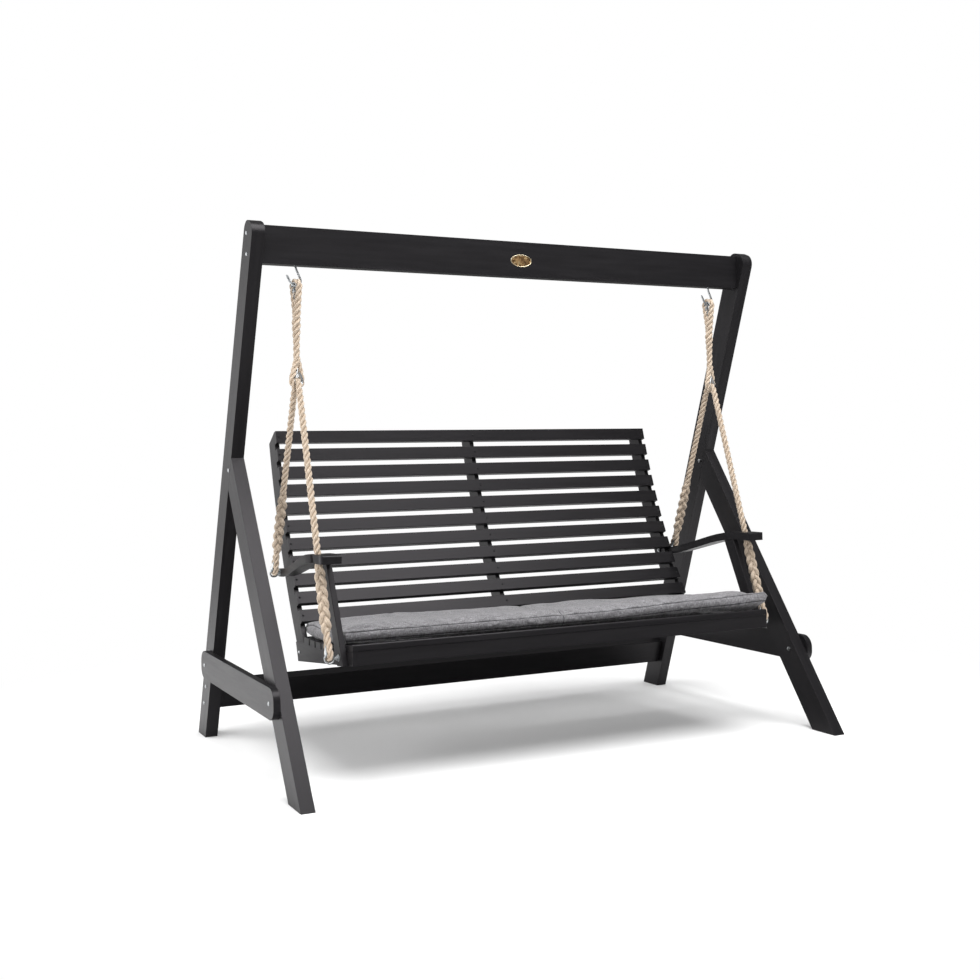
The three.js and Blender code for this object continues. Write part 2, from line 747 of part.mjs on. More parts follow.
// Arms: an S in the side view, drawn in towards the rear, notched for the rope
function armOutline(topDrop, bottomDrop, rear, round) {
  const bend = (armRearY - armLevelY) / 3;
  const shape = new THREE.Shape();
  shape.moveTo(armFrontY, armFrontTopZ - bottomDrop);
  shape.lineTo(armLevelY, armFrontTopZ - bottomDrop);
  shape.bezierCurveTo(
    armLevelY + bend, armFrontTopZ - bottomDrop,
    rear - bend, armRearTopZ - bottomDrop,
    rear, armRearTopZ - bottomDrop,
  );
  shape.lineTo(rear, armRearTopZ - topDrop);
  shape.bezierCurveTo(
    rear - bend, armRearTopZ - topDrop,
    armLevelY + bend, armFrontTopZ - topDrop,
    armLevelY, armFrontTopZ - topDrop,
  );
  shape.lineTo(armFrontY + round, armFrontTopZ - topDrop);
  if (round > 0) {
    shape.absarc(
      armFrontY + round, armFrontTopZ - topDrop - round, round, Math.PI / 2, Math.PI, false,
    );
  }
  return shape;
}

// The legs of the lower rope: tangent to its bend, aimed at an eye bolt's centre
const saddleY = topBendY;
const bendCentreZ = topBendZ - ropeBend;
function ropeLeg(eyeY, eyeZ) {
  const toEye = new THREE.Vector2(eyeY - saddleY, eyeZ - bendCentreZ);
  const distance = toEye.length();
  const turn = Math.acos(ropeBend / distance) * Math.sign(toEye.x);
  const spoke = toEye.clone().normalize().rotateAround(new THREE.Vector2(), turn);
  const startY = saddleY + spoke.x * ropeBend;
  const startZ = bendCentreZ + spoke.y * ropeBend;
  const up = new THREE.Vector3(0, startY - eyeY, startZ - eyeZ).normalize();
  return { startY, startZ, eyeY, eyeZ, up, spokeAngle: Math.atan2(spoke.y, spoke.x) };
}
const frontLeg = ropeLeg(eyeFrontY, eyeFrontZ);
const rearLeg = ropeLeg(eyeRearY, eyeRearZ);

for (const { side, name } of sides) {
  const armSpan = spanX(side, benchEnd, benchEnd + armWide);
  const armSide = sideBoard(
    armOutline(0, armThick, armRearY, armTopRound), armSpan, armSegments,
  );
  const plan = outline([
    [side * benchEnd, armFrontY],
    [side * (benchEnd + armWide), armFrontY, armCorner],
    [side * (benchEnd + armWide), armTaperY],
    [side * (benchEnd + armRearWide), eyeRearY - armPadHalf],
    [side * (benchEnd + armRearWide), armRearY],
    [side * benchEnd, armRearY],
  ]);
  const tall = 2 * (armFrontTopZ - armRearTopZ + armThick);
  const planOptions = { depth: tall, bevelEnabled: false, curveSegments: 5 };
  const planGeometry = new THREE.ExtrudeGeometry(plan, planOptions);
  planGeometry.translate(0, 0, armRearTopZ - tall / 2);

  // The notch follows the rope's slant through the arm
  const through = armFrontTopZ - armThick / 2;
  const legShift = (through - frontLeg.eyeZ) * (frontLeg.up.y / frontLeg.up.z);
  const notchY = frontLeg.eyeY + legShift;
  const notchHalf = (ropeRadius + notchSide) / frontLeg.up.z;
  const notchInner = ropeOut - ropeRadius - notchSide;
  const notchPlan = outline([
    [side * (benchEnd + notchInner), notchY - notchHalf, notchCorner],
    [side * (benchEnd + notchInner), notchY + notchHalf, notchCorner],
    [side * (benchEnd + 2 * armWide), notchY + notchHalf],
    [side * (benchEnd + 2 * armWide), notchY - notchHalf],
  ]);
  const notchGeometry = new THREE.ExtrudeGeometry(notchPlan, {
    depth: 3 * armThick,
    bevelEnabled: false,
    curveSegments: 5,
  });
  notchGeometry.translate(0, 0, -1.5 * armThick);
  const slant = frontLeg.up.y / frontLeg.up.z;
  const shear = new THREE.Matrix4().makeShear(0, 0, 0, 0, 0, slant);
  notchGeometry.applyMatrix4(shear);
  notchGeometry.translate(0, 0, through);
  const arm = cut(armSide.intersect(toSolid(planGeometry)), [toSolid(notchGeometry), ...eyeHoles]);
  addPiece(bench, `${name}_armrest`, arm, blackPaint());

  // Arm post, from the foot of the side rail to the underside of the arm
  const postSlope = Math.tan(armPostLean);
  const postWide = armPostDeep / Math.cos(armPostLean);
  const postFootZ = railFootZ(armPostFrontY);
  const rearFootZ = railFootZ(armPostFrontY + postWide);
  const postTop = armFrontTopZ;
  const armPostShape = outline([
    [armPostFrontY, postFootZ],
    [armPostFrontY + postWide, rearFootZ],
    [armPostFrontY + postWide + (postTop - rearFootZ) * postSlope, postTop],
    [armPostFrontY + (postTop - postFootZ) * postSlope, postTop],
  ]);
  const armPostSpan = spanX(side, benchEnd, benchEnd + armPostThick);
  const aboveArm = spanX(side, benchEnd - fit, benchEnd + armWide);
  const armPost = cut(sideBoard(armPostShape, armPostSpan), [
    sideBoard(armOutline(-armThick, armThick + fit, armRearY, 0), aboveArm, armSegments),
    ...eyeHoles,
  ]);
  addPiece(bench, `${name}_arm_post`, armPost, blackPaint());

  // Eye bolts: a ring outside, a shank through the timber, a nut inside
  for (const [place, leg, seat] of [
    ['front', frontLeg, armPostThick],
    ['rear', rearLeg, armRearWide],
  ]) {
    const ringGeometry = new THREE.TorusGeometry(ringRadius, ringWireRadius, ringSides, ringSteps);
    const ringTurn = new THREE.Matrix4().makeBasis(
      alongX,
      leg.up,
      new THREE.Vector3().crossVectors(alongX, leg.up),
    );
    ringGeometry.applyMatrix4(ringTurn);
    ringGeometry.translate(side * ropeX, leg.eyeY, leg.eyeZ);
    const ringInner = benchEnd + ropeOut - ringRadius;
    const shankSpan = spanX(side, benchEnd - stileThick - nutThick, ringInner);
    const nutSpan = spanX(side, benchEnd - stileThick - nutThick, benchEnd - stileThick);
    const washerSpan = spanX(side, benchEnd + seat, benchEnd + seat + ringWireRadius / 2);
    const eyeBolt = union([
      toSolid(ringGeometry),
      crossBar(eyeShankRadius, shankSpan, leg.eyeY, leg.eyeZ, boltSides),
      crossBar(nutRadius, nutSpan, leg.eyeY, leg.eyeZ, 6),
      crossBar(boltHeadRadius, washerSpan, leg.eyeY, leg.eyeZ, boltSides),
    ]);
    addPiece(bench, `${name}_${place}_eye_bolt`, eyeBolt, galvanised());
  }

  // Lower rope: over the bend, down both legs, and round the rings
  const bendPoints = [];
  const tail = 2 * ropeRadius;
  const legPoint = (leg, down) => sideView(
    side, leg.startY - leg.up.y * down, leg.startZ - leg.up.z * down,
  );
  bendPoints.push(legPoint(frontLeg, tail));
  for (let step = 0; step <= bendSteps; step += 1) {
    const from = frontLeg.spokeAngle;
    const angle = from + ((rearLeg.spokeAngle - from) * step) / bendSteps;
    const y = saddleY + ropeBend * Math.cos(angle);
    const z = bendCentreZ + ropeBend * Math.sin(angle);
    bendPoints.push(sideView(side, y, z));
  }
  bendPoints.push(legPoint(rearLeg, tail));
  const ropeParts = [tube(bendPoints, bendSteps, bentRadius, ropeSides)];
  for (const leg of [frontLeg, rearLeg]) {
    const eye = sideView(side, leg.eyeY, leg.eyeZ);
    const wire = eye.clone().addScaledVector(leg.up, ringRadius);
    const bend = ringWireRadius + ropeGap + ropeRadius;
    const throat = wire.clone().addScaledVector(leg.up, endEyeLong);
    const spliceTop = throat.clone().addScaledVector(leg.up, spliceLong);
    ropeParts.push(
      bar(legPoint(leg, 0), spliceTop, ropeRadius, ropeRadius, ropeSides),
      bar(spliceTop, throat, ropeRadius, spliceRadius, ropeSides),
      ropeEye(wire, leg.up, alongX.clone().cross(leg.up), bend, endEyeLong),
    );
  }
  addPiece(bench, `${name}_lower_rope`, union(ropeParts), ropeFibre());
}

// Cushion: a boxed pad, crowned, drawn in at its sides, sewn across its middle
const cushionLong = benchLength - 2 * stileThick - 2 * cushionSide;
const cushionGeometry = new THREE.BoxGeometry(cushionLong, cushionDeep, 2, 32, 10, 2);
const cushionPlaces = cushionGeometry.attributes.position;
const cushionMiddleY = nosingFrontY + cushionBack + cushionDeep / 2;
for (let index = 0; index < cushionPlaces.count; index += 1) {
  const u = (2 * cushionPlaces.getX(index)) / cushionLong;
  const v = (2 * cushionPlaces.getY(index)) / cushionDeep;
  const layer = (cushionPlaces.getZ(index) + 1) / 2;
  const edgeX = (1 - Math.abs(u)) * (cushionLong / 2);
  const edgeY = (1 - Math.abs(v)) * (cushionDeep / 2);
  const edge = Math.min(edgeX, edgeY, cushionCorner) / cushionCorner;
  const crown = cushionWall + (1 - cushionWall) * Math.sqrt(edge * (2 - edge));
  const channel = channelDeep * Math.exp(-((u * cushionLong / channelWide) ** 2));
  const rearward = THREE.MathUtils.smoothstep(v, cushionThinFrom, 1);
  const thick = THREE.MathUtils.lerp(cushionThick, cushionRearThick, rearward);
  const drawnIn = cushionPull * (1 - edge) * (4 * (layer - 0.5) ** 2);
  const x = (cushionPlaces.getX(index) / (cushionLong / 2)) * (cushionLong / 2 - drawnIn);
  const across = (cushionPlaces.getY(index) / (cushionDeep / 2)) * (cushionDeep / 2 - drawnIn);
  const y = cushionMiddleY + across * Math.cos(cushionSkew) - x * Math.sin(cushionSkew);
  const lift = layer * (thick * crown - channel);
  const placedX = x * Math.cos(cushionSkew) + across * Math.sin(cushionSkew);
  cushionPlaces.setXYZ(index, placedX, y, seatZ(y, 0) + fit + lift);
}
addPiece(bench, 'seat_cushion', toSolid(cushionGeometry), greyCloth());

export default swing;
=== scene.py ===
# %% [markdown]
# A garden porch swing, from its frame to its finishes
#
# The construction is already packed as a fixed frame: a black timber stand, a slatted bench and
# the ropes that carry it. This script dresses every piece of that frame. It rounds the timbers,
# lays the ropes, inflates the cushion, and gives each surface the finish that it has on the real
# swing. Nothing is moved: every piece takes its place from the frame.

# %% Load the frame
import json
import math

import bmesh
import bpy
from mathutils import Matrix, Vector, noise


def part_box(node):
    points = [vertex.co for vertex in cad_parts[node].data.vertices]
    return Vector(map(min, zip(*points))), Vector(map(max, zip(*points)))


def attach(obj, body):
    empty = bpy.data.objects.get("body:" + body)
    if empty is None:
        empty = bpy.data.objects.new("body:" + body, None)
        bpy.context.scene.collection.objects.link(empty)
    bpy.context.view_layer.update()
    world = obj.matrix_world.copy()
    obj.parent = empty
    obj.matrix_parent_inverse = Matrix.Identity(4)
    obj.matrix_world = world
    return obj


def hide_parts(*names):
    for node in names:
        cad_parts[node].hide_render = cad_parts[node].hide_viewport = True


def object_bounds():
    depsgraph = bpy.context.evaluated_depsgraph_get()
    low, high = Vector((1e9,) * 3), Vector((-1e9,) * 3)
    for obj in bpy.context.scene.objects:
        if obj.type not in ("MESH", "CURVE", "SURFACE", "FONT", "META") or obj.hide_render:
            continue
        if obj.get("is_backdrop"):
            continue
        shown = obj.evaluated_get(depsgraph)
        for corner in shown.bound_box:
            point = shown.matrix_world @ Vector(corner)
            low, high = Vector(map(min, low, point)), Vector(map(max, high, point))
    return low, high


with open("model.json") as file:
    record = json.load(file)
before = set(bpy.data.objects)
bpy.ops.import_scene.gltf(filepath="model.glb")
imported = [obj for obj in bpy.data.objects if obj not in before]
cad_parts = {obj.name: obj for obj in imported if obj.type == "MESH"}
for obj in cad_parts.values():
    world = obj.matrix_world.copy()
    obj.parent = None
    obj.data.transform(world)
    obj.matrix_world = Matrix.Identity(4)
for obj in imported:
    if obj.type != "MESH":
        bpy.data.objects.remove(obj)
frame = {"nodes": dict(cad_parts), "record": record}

cad_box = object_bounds()
MM = 0.001
behaviour = frame["record"]["behaviour"]
body_of_node = {node: body for body, nodes in behaviour["bodies"].items() for node in nodes}
joint_at = {joint["name"]: Vector(joint["pos_m"]) for joint in behaviour["joints"]}

# %% [markdown]
# The camera stands where the photographer stood: low, in front, and well to the left. Its place
# was worked out from the stand's straight edges. The picture was cropped above its centre, so the
# lens has a small vertical shift in place of a tilt, and the posts stay true.

# %% Camera
camera_place = Vector((-2.0097, -3.8890, 0.9743))
camera_yaw = 0.4616
camera_pitch = 0.0387
camera_roll = -0.0151
focal_pixels = 1261.56
picture_pixels = 980
horizon_row = 401.04

forward = Vector((
    math.sin(camera_yaw) * math.cos(camera_pitch),
    math.cos(camera_yaw) * math.cos(camera_pitch),
    math.sin(camera_pitch),
))
level_right = Vector((math.cos(camera_yaw), -math.sin(camera_yaw), 0))
level_up = level_right.cross(forward)
camera_right = math.cos(camera_roll) * level_right + math.sin(camera_roll) * level_up
camera_up = math.cos(camera_roll) * level_up - math.sin(camera_roll) * level_right

lens = bpy.data.cameras.new("photo_camera")
lens.sensor_width = 36
lens.lens = lens.sensor_width * focal_pixels / picture_pixels
lens.shift_y = (horizon_row - picture_pixels / 2) / picture_pixels
camera = bpy.data.objects.new("photo_camera", lens)
turn = Matrix((camera_right, camera_up, -forward)).transposed()
camera.matrix_world = Matrix.Translation(camera_place) @ turn.to_4x4()
bpy.context.scene.collection.objects.link(camera)
bpy.context.scene.camera = camera
print("camera lens", round(lens.lens, 2), "mm, shift", round(lens.shift_y, 4))

# %% [markdown]
# The ropes come next, because everything hangs on them. Each side has an upper rope, with one
# eye round the hook and one round the bend of the lower rope. The lower rope runs down both sides
# of the bend to an eye round each eye bolt. These are the sizes of that route.

# %% Rope sizes
rope_radius = 10 * MM
rope_gap = 0.3 * MM
rope_out = 46 * MM  # rope plane beyond the end of the bench
hook_wire = 3.5 * MM
ring_wire = 3 * MM
ring_radius = 14 * MM
top_eye_long = 105 * MM
low_eye_long = 68 * MM
end_eye_long = 74 * MM
route_step = 8 * MM
sides = {"left": -1, "right": 1}

hook_point = joint_at["left_rope_swing"]
bend_point = joint_at["bench_tilt"]
rope_x = abs(hook_point.x)
hang_y = hook_point.y
rope_bend = 2 * rope_radius + 3 * rope_gap
hook_bend = hook_wire + 2 * rope_gap + rope_radius
end_bend = ring_wire + rope_gap + rope_radius
saddle_z = bend_point.z + rope_bend

# The bench's own origin is the top front edge of its top slat. The bend of the lower ropes and the
# eye bolts have their places seen from there.
bend_from_origin = (-385.5 * MM, 152 * MM)
bench_origin = Vector((0, hang_y - bend_from_origin[0], saddle_z - bend_from_origin[1]))
eye_bolts = {
    "rear": bench_origin + Vector((0, -126, -469)) * MM,
    "front": bench_origin + Vector((0, -668, -675)) * MM,
}
UP = Vector((0, 0, 1))
ALONG_X = Vector((1, 0, 0))
# The two eyes of an upper rope lie square to each other, a little turned on the hook
TOP_EYE_ACROSS = Vector((-0.423, 0.906, 0))
LOW_EYE_ACROSS = Vector((0.906, 0.423, 0))
print("rope bend", round(rope_bend / MM, 1), "mm, at", [round(value, 4) for value in bend_point])

# %% [markdown]
# A route is a list of points. An eye starts at its throat, opens out to the wire, goes round it
# and comes back. The straight runs between the eyes are filled in with evenly spaced points.

# %% Rope routes
def rope_leg(bolt):
    """Where a leg leaves the bend, and the direction up the leg, in the side view."""
    centre = Vector((bend_point.y, bend_point.z))
    to_bolt = Vector((bolt.y, bolt.z)) - centre
    swing = math.acos(rope_bend / to_bolt.length) * (1 if to_bolt.x > 0 else -1)
    across, up = to_bolt.normalized()
    spoke = Vector((
        across * math.cos(swing) - up * math.sin(swing),
        across * math.sin(swing) + up * math.cos(swing),
    ))
    start = centre + spoke * rope_bend
    up_leg = Vector((0, start.x - bolt.y, start.y - bolt.z)).normalized()
    return Vector((0, start.x, start.y)), up_leg, math.atan2(spoke.y, spoke.x)


def eye_route(centre, up, across, bend, long):
    """A rope's route round an eye, from its throat round and back to it."""
    tangent = math.acos(bend / long)
    touch = bend * math.sin(tangent)
    rise = bend * math.cos(tangent)
    lead = 7
    round_steps = 22
    points = []
    for step in range(lead):
        share = step / lead
        points.append(centre + up * (long + (rise - long) * share) + across * touch * share)
    for step in range(round_steps + 1):
        angle = tangent + (2 * math.pi - 2 * tangent) * step / round_steps
        points.append(centre + (up * math.cos(angle) + across * math.sin(angle)) * bend)
    for step in range(lead):
        share = (step + 1) / lead
        points.append(centre + up * (rise + (long - rise) * share) - across * touch * (1 - share))
    return points


def upper_eyes(side):
    """The eyes of an upper rope, round the hook and round the bend of the lower rope."""
    hook = Vector((side * rope_x, hang_y, hook_point.z))
    saddle = Vector((side * rope_x, hang_y, saddle_z))
    return (
        eye_route(hook, -UP, TOP_EYE_ACROSS, hook_bend, top_eye_long),
        eye_route(saddle, UP, LOW_EYE_ACROSS, rope_bend, low_eye_long),
    )


def end_eye(side, end):
    """The eye of a lower rope at its front or rear eye bolt."""
    up_leg = legs[end][1]
    wire = Vector((side * rope_x, *eye_bolts[end].yz)) + up_leg * ring_radius
    return eye_route(wire, up_leg, ALONG_X.cross(up_leg), end_bend, end_eye_long)


def between(start, end):
    """Points on a straight run, without its two ends."""
    count = max(2, round((end - start).length / route_step))
    return [start.lerp(end, index / count) for index in range(1, count)]


legs = {end: rope_leg(bolt) for end, bolt in eye_bolts.items()}
for end, (start, up_leg, spoke) in legs.items():
    print(end, "leg leans", round(math.degrees(math.atan2(up_leg.y, up_leg.z)), 1), "degrees")

# %% [markdown]
# Small tools for node trees. They add nodes, link them and do arithmetic, in geometry trees and
# in finishes alike. An effect that several finishes share is a group with named inputs. It is
# built once, and each finish places it with its own values.

# %% Node tree helpers
class Tree:
    """A node tree, with short ways to add nodes, to link them and to do arithmetic."""

    def __init__(self, tree):
        self.tree = tree

    def feed(self, node, **links):
        """Links a node's inputs, by name or as i0, i1 and so on, or gives them values."""
        for key, value in links.items():
            by_number = key[0] == "i" and key[1:].isdigit()
            socket = node.inputs[int(key[1:]) if by_number else key.replace("_", " ")]
            if isinstance(value, bpy.types.NodeSocket):
                self.tree.links.new(value, socket)
            else:
                socket.default_value = value
        return node

    def add(self, kind, settings=None, **links):
        """A new node with its properties set and its inputs fed."""
        node = self.tree.nodes.new(kind)
        for key, value in (settings or {}).items():
            setattr(node, key, value)
        return self.feed(node, **links)

    def first(self, kind, settings=None, **links):
        """The first output of a new node."""
        return self.add(kind, settings, **links).outputs[0]

    def maths(self, operation, first, second=0.0):
        """One step of arithmetic."""
        return self.first("ShaderNodeMath", {"operation": operation}, i0=first, i1=second)

    def times(self, first, second):
        """A product."""
        return self.maths("MULTIPLY", first, second)

    def plus(self, first, second):
        """A sum."""
        return self.maths("ADD", first, second)

    def vector_maths(self, operation, **links):
        """One step of arithmetic with vectors."""
        return self.add("ShaderNodeVectorMath", {"operation": operation}, **links).outputs

    def blend(self, first, second, share):
        """A sum of two values, each with its share of it."""
        return self.plus(self.times(first, share), self.times(second, 1 - share))

    def remap(self, value, start, end, low=0.0, high=1.0, kind="LINEAR"):
        """Turns a range of values into another, straight or as a smooth step."""
        settings = {"interpolation_type": kind}
        return self.first("ShaderNodeMapRange", settings, i0=value, i1=start, i2=end, i3=low, i4=high)

    def parts(self, vector):
        """The three parts of a vector."""
        return self.add("ShaderNodeSeparateXYZ", i0=vector).outputs

    def named(self, name, kind="FLOAT"):
        """The value of a named attribute of a geometry."""
        return self.first("GeometryNodeInputNamedAttribute", {"data_type": kind}, Name=name)

    def store(self, geometry, name, value, kind="FLOAT"):
        """Keeps a value on the points of a geometry under a name."""
        settings = {"data_type": kind, "domain": "POINT"}
        return self.first(
            "GeometryNodeStoreNamedAttribute", settings, Geometry=geometry, Name=name, Value=value,
        )

    def placed(self, group, **links):
        """The outputs of a shared group, placed in this tree with its own values."""
        return self.add("ShaderNodeGroup", {"node_tree": group.tree}, **links).outputs


def new_group(name, kind, inputs, outputs):
    """A node group with named inputs and outputs, each with its type."""
    group = bpy.data.node_groups.new(name, kind)
    for in_out, sockets in (("INPUT", inputs), ("OUTPUT", outputs)):
        for label, socket_type in sockets.items():
            group.interface.new_socket(label, in_out=in_out, socket_type=f"NodeSocket{socket_type}")
    made = Tree(group)
    made.given = group.nodes.new("NodeGroupInput").outputs
    made.result = group.nodes.new("NodeGroupOutput")
    return made


# %% [markdown]
# A geometry tree runs on a few marks: loose points or lines of edges that say where the pieces
# go. Its result is turned into a plain mesh at once, so nothing live is left on the finished
# piece. Each finished piece is then tied to its body, and the parts that it stands for are hidden.

# %% Geometry helpers
def geometry_tree(name, **sizes):
    """A geometry tree that works on marks, with named sizes and a finish."""
    geometry = {"Geometry": "Geometry"}
    return new_group(name, "GeometryNodeTree", {**geometry, **sizes, "Finish": "Material"}, geometry)


def end_tree(tree, geometry):
    """Ends a geometry tree with plain geometry in its finish."""
    real = tree.first("GeometryNodeRealizeInstances", i0=geometry)
    painted = tree.first("GeometryNodeSetMaterial", i0=real, Material=tree.given["Finish"])
    tree.feed(tree.result, i0=painted)


def link_object(name, mesh):
    """A new object in the scene that holds a mesh."""
    made = bpy.data.objects.new(name, mesh)
    bpy.context.scene.collection.objects.link(made)
    return made


def marks_mesh(name, points, edges, **values):
    """A mesh of loose points or of lines, with values on each point."""
    mesh = bpy.data.meshes.new(name)
    mesh.from_pydata([tuple(point) for point in points], edges, [])
    for key, numbers in values.items():
        mesh.attributes.new(key, "FLOAT", "POINT").data.foreach_set("value", numbers)
    return mesh


def finished_mesh(made):
    """Replaces an object's live modifiers by their result."""
    graph = bpy.context.evaluated_depsgraph_get()
    mesh = bpy.data.meshes.new_from_object(made.evaluated_get(graph), depsgraph=graph)
    made.modifiers.clear()
    made.data = mesh
    mesh.name = made.name
    return made


def smooth_faces(mesh, sharp=None):
    """Shades a mesh round, but for its edges that are sharper than an angle."""
    for face in mesh.polygons:
        face.use_smooth = True
    if sharp is not None:
        mesh.set_sharp_from_angle(angle=math.radians(sharp))


def grow(name, marks, tree, **values):
    """Runs a geometry tree on marks and keeps its result as a plain mesh."""
    made = link_object(name, marks)
    modifier = made.modifiers.new("grow", "NODES")
    modifier.node_group = tree.tree
    for socket in tree.tree.interface.items_tree:
        if socket.in_out == "INPUT" and socket.name.lower() in values:
            modifier[socket.identifier] = values[socket.name.lower()]
    return finished_mesh(made)


def place(piece, body, slot, *nodes):
    """Ties a finished piece to its body and hides the nodes that it stands for. Its slot is not used.
    """
    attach(piece, body)
    if nodes:
        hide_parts(*nodes)


# %% [markdown]
# Finishes. The shader itself stays in each material, and the effects feed it. The first shared
# effect is raised grain: noise drawn out along the board, with finer brush marks over it.

# %% Finish helpers
def new_material(name, **values):
    """A node material, whose Principled shader is given plain values."""
    material = bpy.data.materials.new(name)
    material.use_nodes = True
    tree = Tree(material.node_tree)
    tree.shader = material.node_tree.nodes["Principled BSDF"]
    tree.feed(tree.shader, **values)
    return material, tree


def object_place(tree):
    """A point's place on the piece, for effects that sit still on it."""
    return tree.add("ShaderNodeTexCoord").outputs["Object"]


def attribute(tree, name, output):
    """A value or vector that the mesh carries under a name."""
    return tree.add("ShaderNodeAttribute", {"attribute_name": name}).outputs[output]


def ramp(tree, value, *stops):
    """Turns a value into a colour through a few stops of (place, colour)."""
    made = tree.add("ShaderNodeValToRGB", i0=value)
    elements = made.color_ramp.elements
    while len(elements) < len(stops):
        elements.new(0.5)
    for element, (at, color) in zip(elements, stops):
        element.position = at
        element.color = (*color, 1)
    return made.outputs["Color"]


def tint(tree, color, shade):
    """A colour multiplied by another."""
    settings = {"data_type": "RGBA", "blend_type": "MULTIPLY"}
    return tree.add("ShaderNodeMix", settings, i0=1.0, i6=color, i7=shade).outputs[2]


def bump(tree, strength, distance, height):
    """A normal that follows a height."""
    return tree.first("ShaderNodeBump", Strength=strength, Distance=distance, Height=height)


WHITE = (1.0, 1.0, 1.0)
grain = new_group(
    "painted_grain", "ShaderNodeTree",
    {"Vector": "Vector", "Stretch": "Float", "Scale": "Float"},
    {"Height": "Float", "Tone": "Float"},
)
drawn_out = grain.first(
    "ShaderNodeCombineXYZ", i0=grain.maths("DIVIDE", 1.0, grain.given["Stretch"]), i1=1.0, i2=1.0,
)
grain_place = grain.vector_maths("MULTIPLY", i0=grain.given["Vector"], i1=drawn_out)[0]
broad = grain.first(
    "ShaderNodeTexNoise", Vector=grain_place, Scale=grain.given["Scale"], Detail=5.0, Roughness=0.6,
)
fine_scale = grain.times(grain.given["Scale"], 9.0)
fine = grain.first("ShaderNodeTexNoise", Vector=grain_place, Scale=fine_scale, Detail=3.0)
grain.feed(grain.result, Height=grain.blend(broad, fine, 0.7), Tone=broad)
print("shared effect:", grain.tree.name)

# %% [markdown]
# Black paint on softwood. Close up it is not one black: the grain lifts it into faint ridges,
# the brush leaves satin and duller streaks, and the tone wanders a little from board to board.
# The grain runs along each board, so the finish is made once for each direction.

# %% Black painted timber
paint_dark = (0.0072, 0.0068, 0.0076)
paint_light = (0.0112, 0.0107, 0.0118)
post_lean = math.radians(20.8)
strut_lean = math.radians(35.8)
stile_lean = 0.42


def black_paint(name, along):
    """Black satin paint with its grain along a direction."""
    material, tree = new_material(
        name, Specular_IOR_Level=0.25, Specular_Tint=(1.0, 0.955, 1.0, 1.0),
    )
    turned = Vector(along).rotation_difference(ALONG_X).to_euler()
    vector = tree.first("ShaderNodeMapping", Vector=object_place(tree), Rotation=turned)
    wood = tree.placed(grain, Vector=vector, Stretch=16.0, Scale=70.0)
    tree.feed(
        tree.shader,
        Base_Color=ramp(tree, wood["Tone"], (0.30, paint_dark), (0.72, paint_light)),
        Roughness=tree.remap(wood["Height"], 0.3, 0.7, 0.335, 0.42),
        Normal=bump(tree, 0.35, 0.35 * MM, wood["Height"]),
    )
    return material


grain_ways = {
    "along_x": (1, 0, 0),
    "along_y": (0, 1, 0),
    "post": (0, -math.sin(post_lean), math.cos(post_lean)),
    "strut": (0, math.sin(strut_lean), math.cos(strut_lean)),
    "back": (0, math.sin(stile_lean), math.cos(stile_lean)),
}
paints = {name: black_paint(f"black_paint_{name}", way) for name, way in grain_ways.items()}
print("paint finishes:", len(paints))

# %% [markdown]
# The timbers are already right in size, so each one starts as a copy of its frame node. The
# copy's loose triangles are merged and its flat faces cleaned, and then a bevel rounds every
# edge, because planed and painted boards have edges that catch the light. The boards of the
# stand are rounded more than those of the bench, and the armrests most.

# %% Timbers
nosing_wedge = 3.8 * MM
stand_edge = 2.5 * MM
bench_edge = 1.5 * MM
middle_boards = {
    "beam": ("along_x", stand_edge),
    "rear_stretcher": ("along_x", stand_edge),
    "front_rail": ("along_x", 0.8 * MM),
    "seat_nosing": ("along_x", bench_edge),
    "middle_back_stile": ("back", bench_edge),
    "middle_bearer": ("along_y", bench_edge),
}
side_boards = {
    "post": ("post", stand_edge),
    "front_strut": ("strut", stand_edge),
    "side_brace": ("along_y", stand_edge),
    "back_stile": ("back", bench_edge),
    "side_rail": ("along_y", bench_edge),
    "arm_post": ("back", 2 * MM),
    "armrest": ("along_y", 5.5 * MM),
}


def up_to_nosing(corner):
    """Lifts the front rail's top front edge, to close the wedge below the tilted nosing."""
    rail_low, rail_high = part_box("front_rail")
    if corner.y < rail_low.y + 1 * MM and corner.z > rail_high.z - 1 * MM:
        corner.z += nosing_wedge


def dressed_board(node, paint, edge, reshape=None):
    """A timber with rounded edges in the place of its node."""
    mesh = frame["nodes"][node].data.copy()
    mesh.materials.clear()
    shape = bmesh.new()
    shape.from_mesh(mesh)
    bmesh.ops.remove_doubles(shape, verts=shape.verts, dist=0.01 * MM)
    if reshape:
        for vertex in shape.verts:
            reshape(vertex.co)
    bmesh.ops.dissolve_limit(
        shape, angle_limit=math.radians(1.0), verts=shape.verts, edges=shape.edges,
    )
    shape.to_mesh(mesh)
    shape.free()
    mesh.materials.append(paints[paint])
    board = link_object(f"{node}_timber", mesh)
    bevel = board.modifiers.new("rounded_edges", "BEVEL")
    bevel.width = edge
    bevel.segments = 4 if edge > 5 * MM else 3
    bevel.limit_method = "ANGLE"
    bevel.angle_limit = math.radians(40)
    bevel.harden_normals = True
    smooth_faces(mesh, sharp=50)
    finished_mesh(board)
    place(board, body_of_node[node], "black_painted_timber", node)


boards = dict(middle_boards)
for name in sides:
    boards.update({f"{name}_{board}": made for board, made in side_boards.items()})
for node, (paint, edge) in boards.items():
    dressed_board(node, paint, edge, up_to_nosing if node == "front_rail" else None)
print("boards dressed:", len(boards))

# %% [markdown]
# The slats repeat, so a geometry tree makes them. Each mark is the middle of a slat, with its
# tilt, and the tree sets a board on every mark: an outline with rounded corners, drawn along a
# straight line.

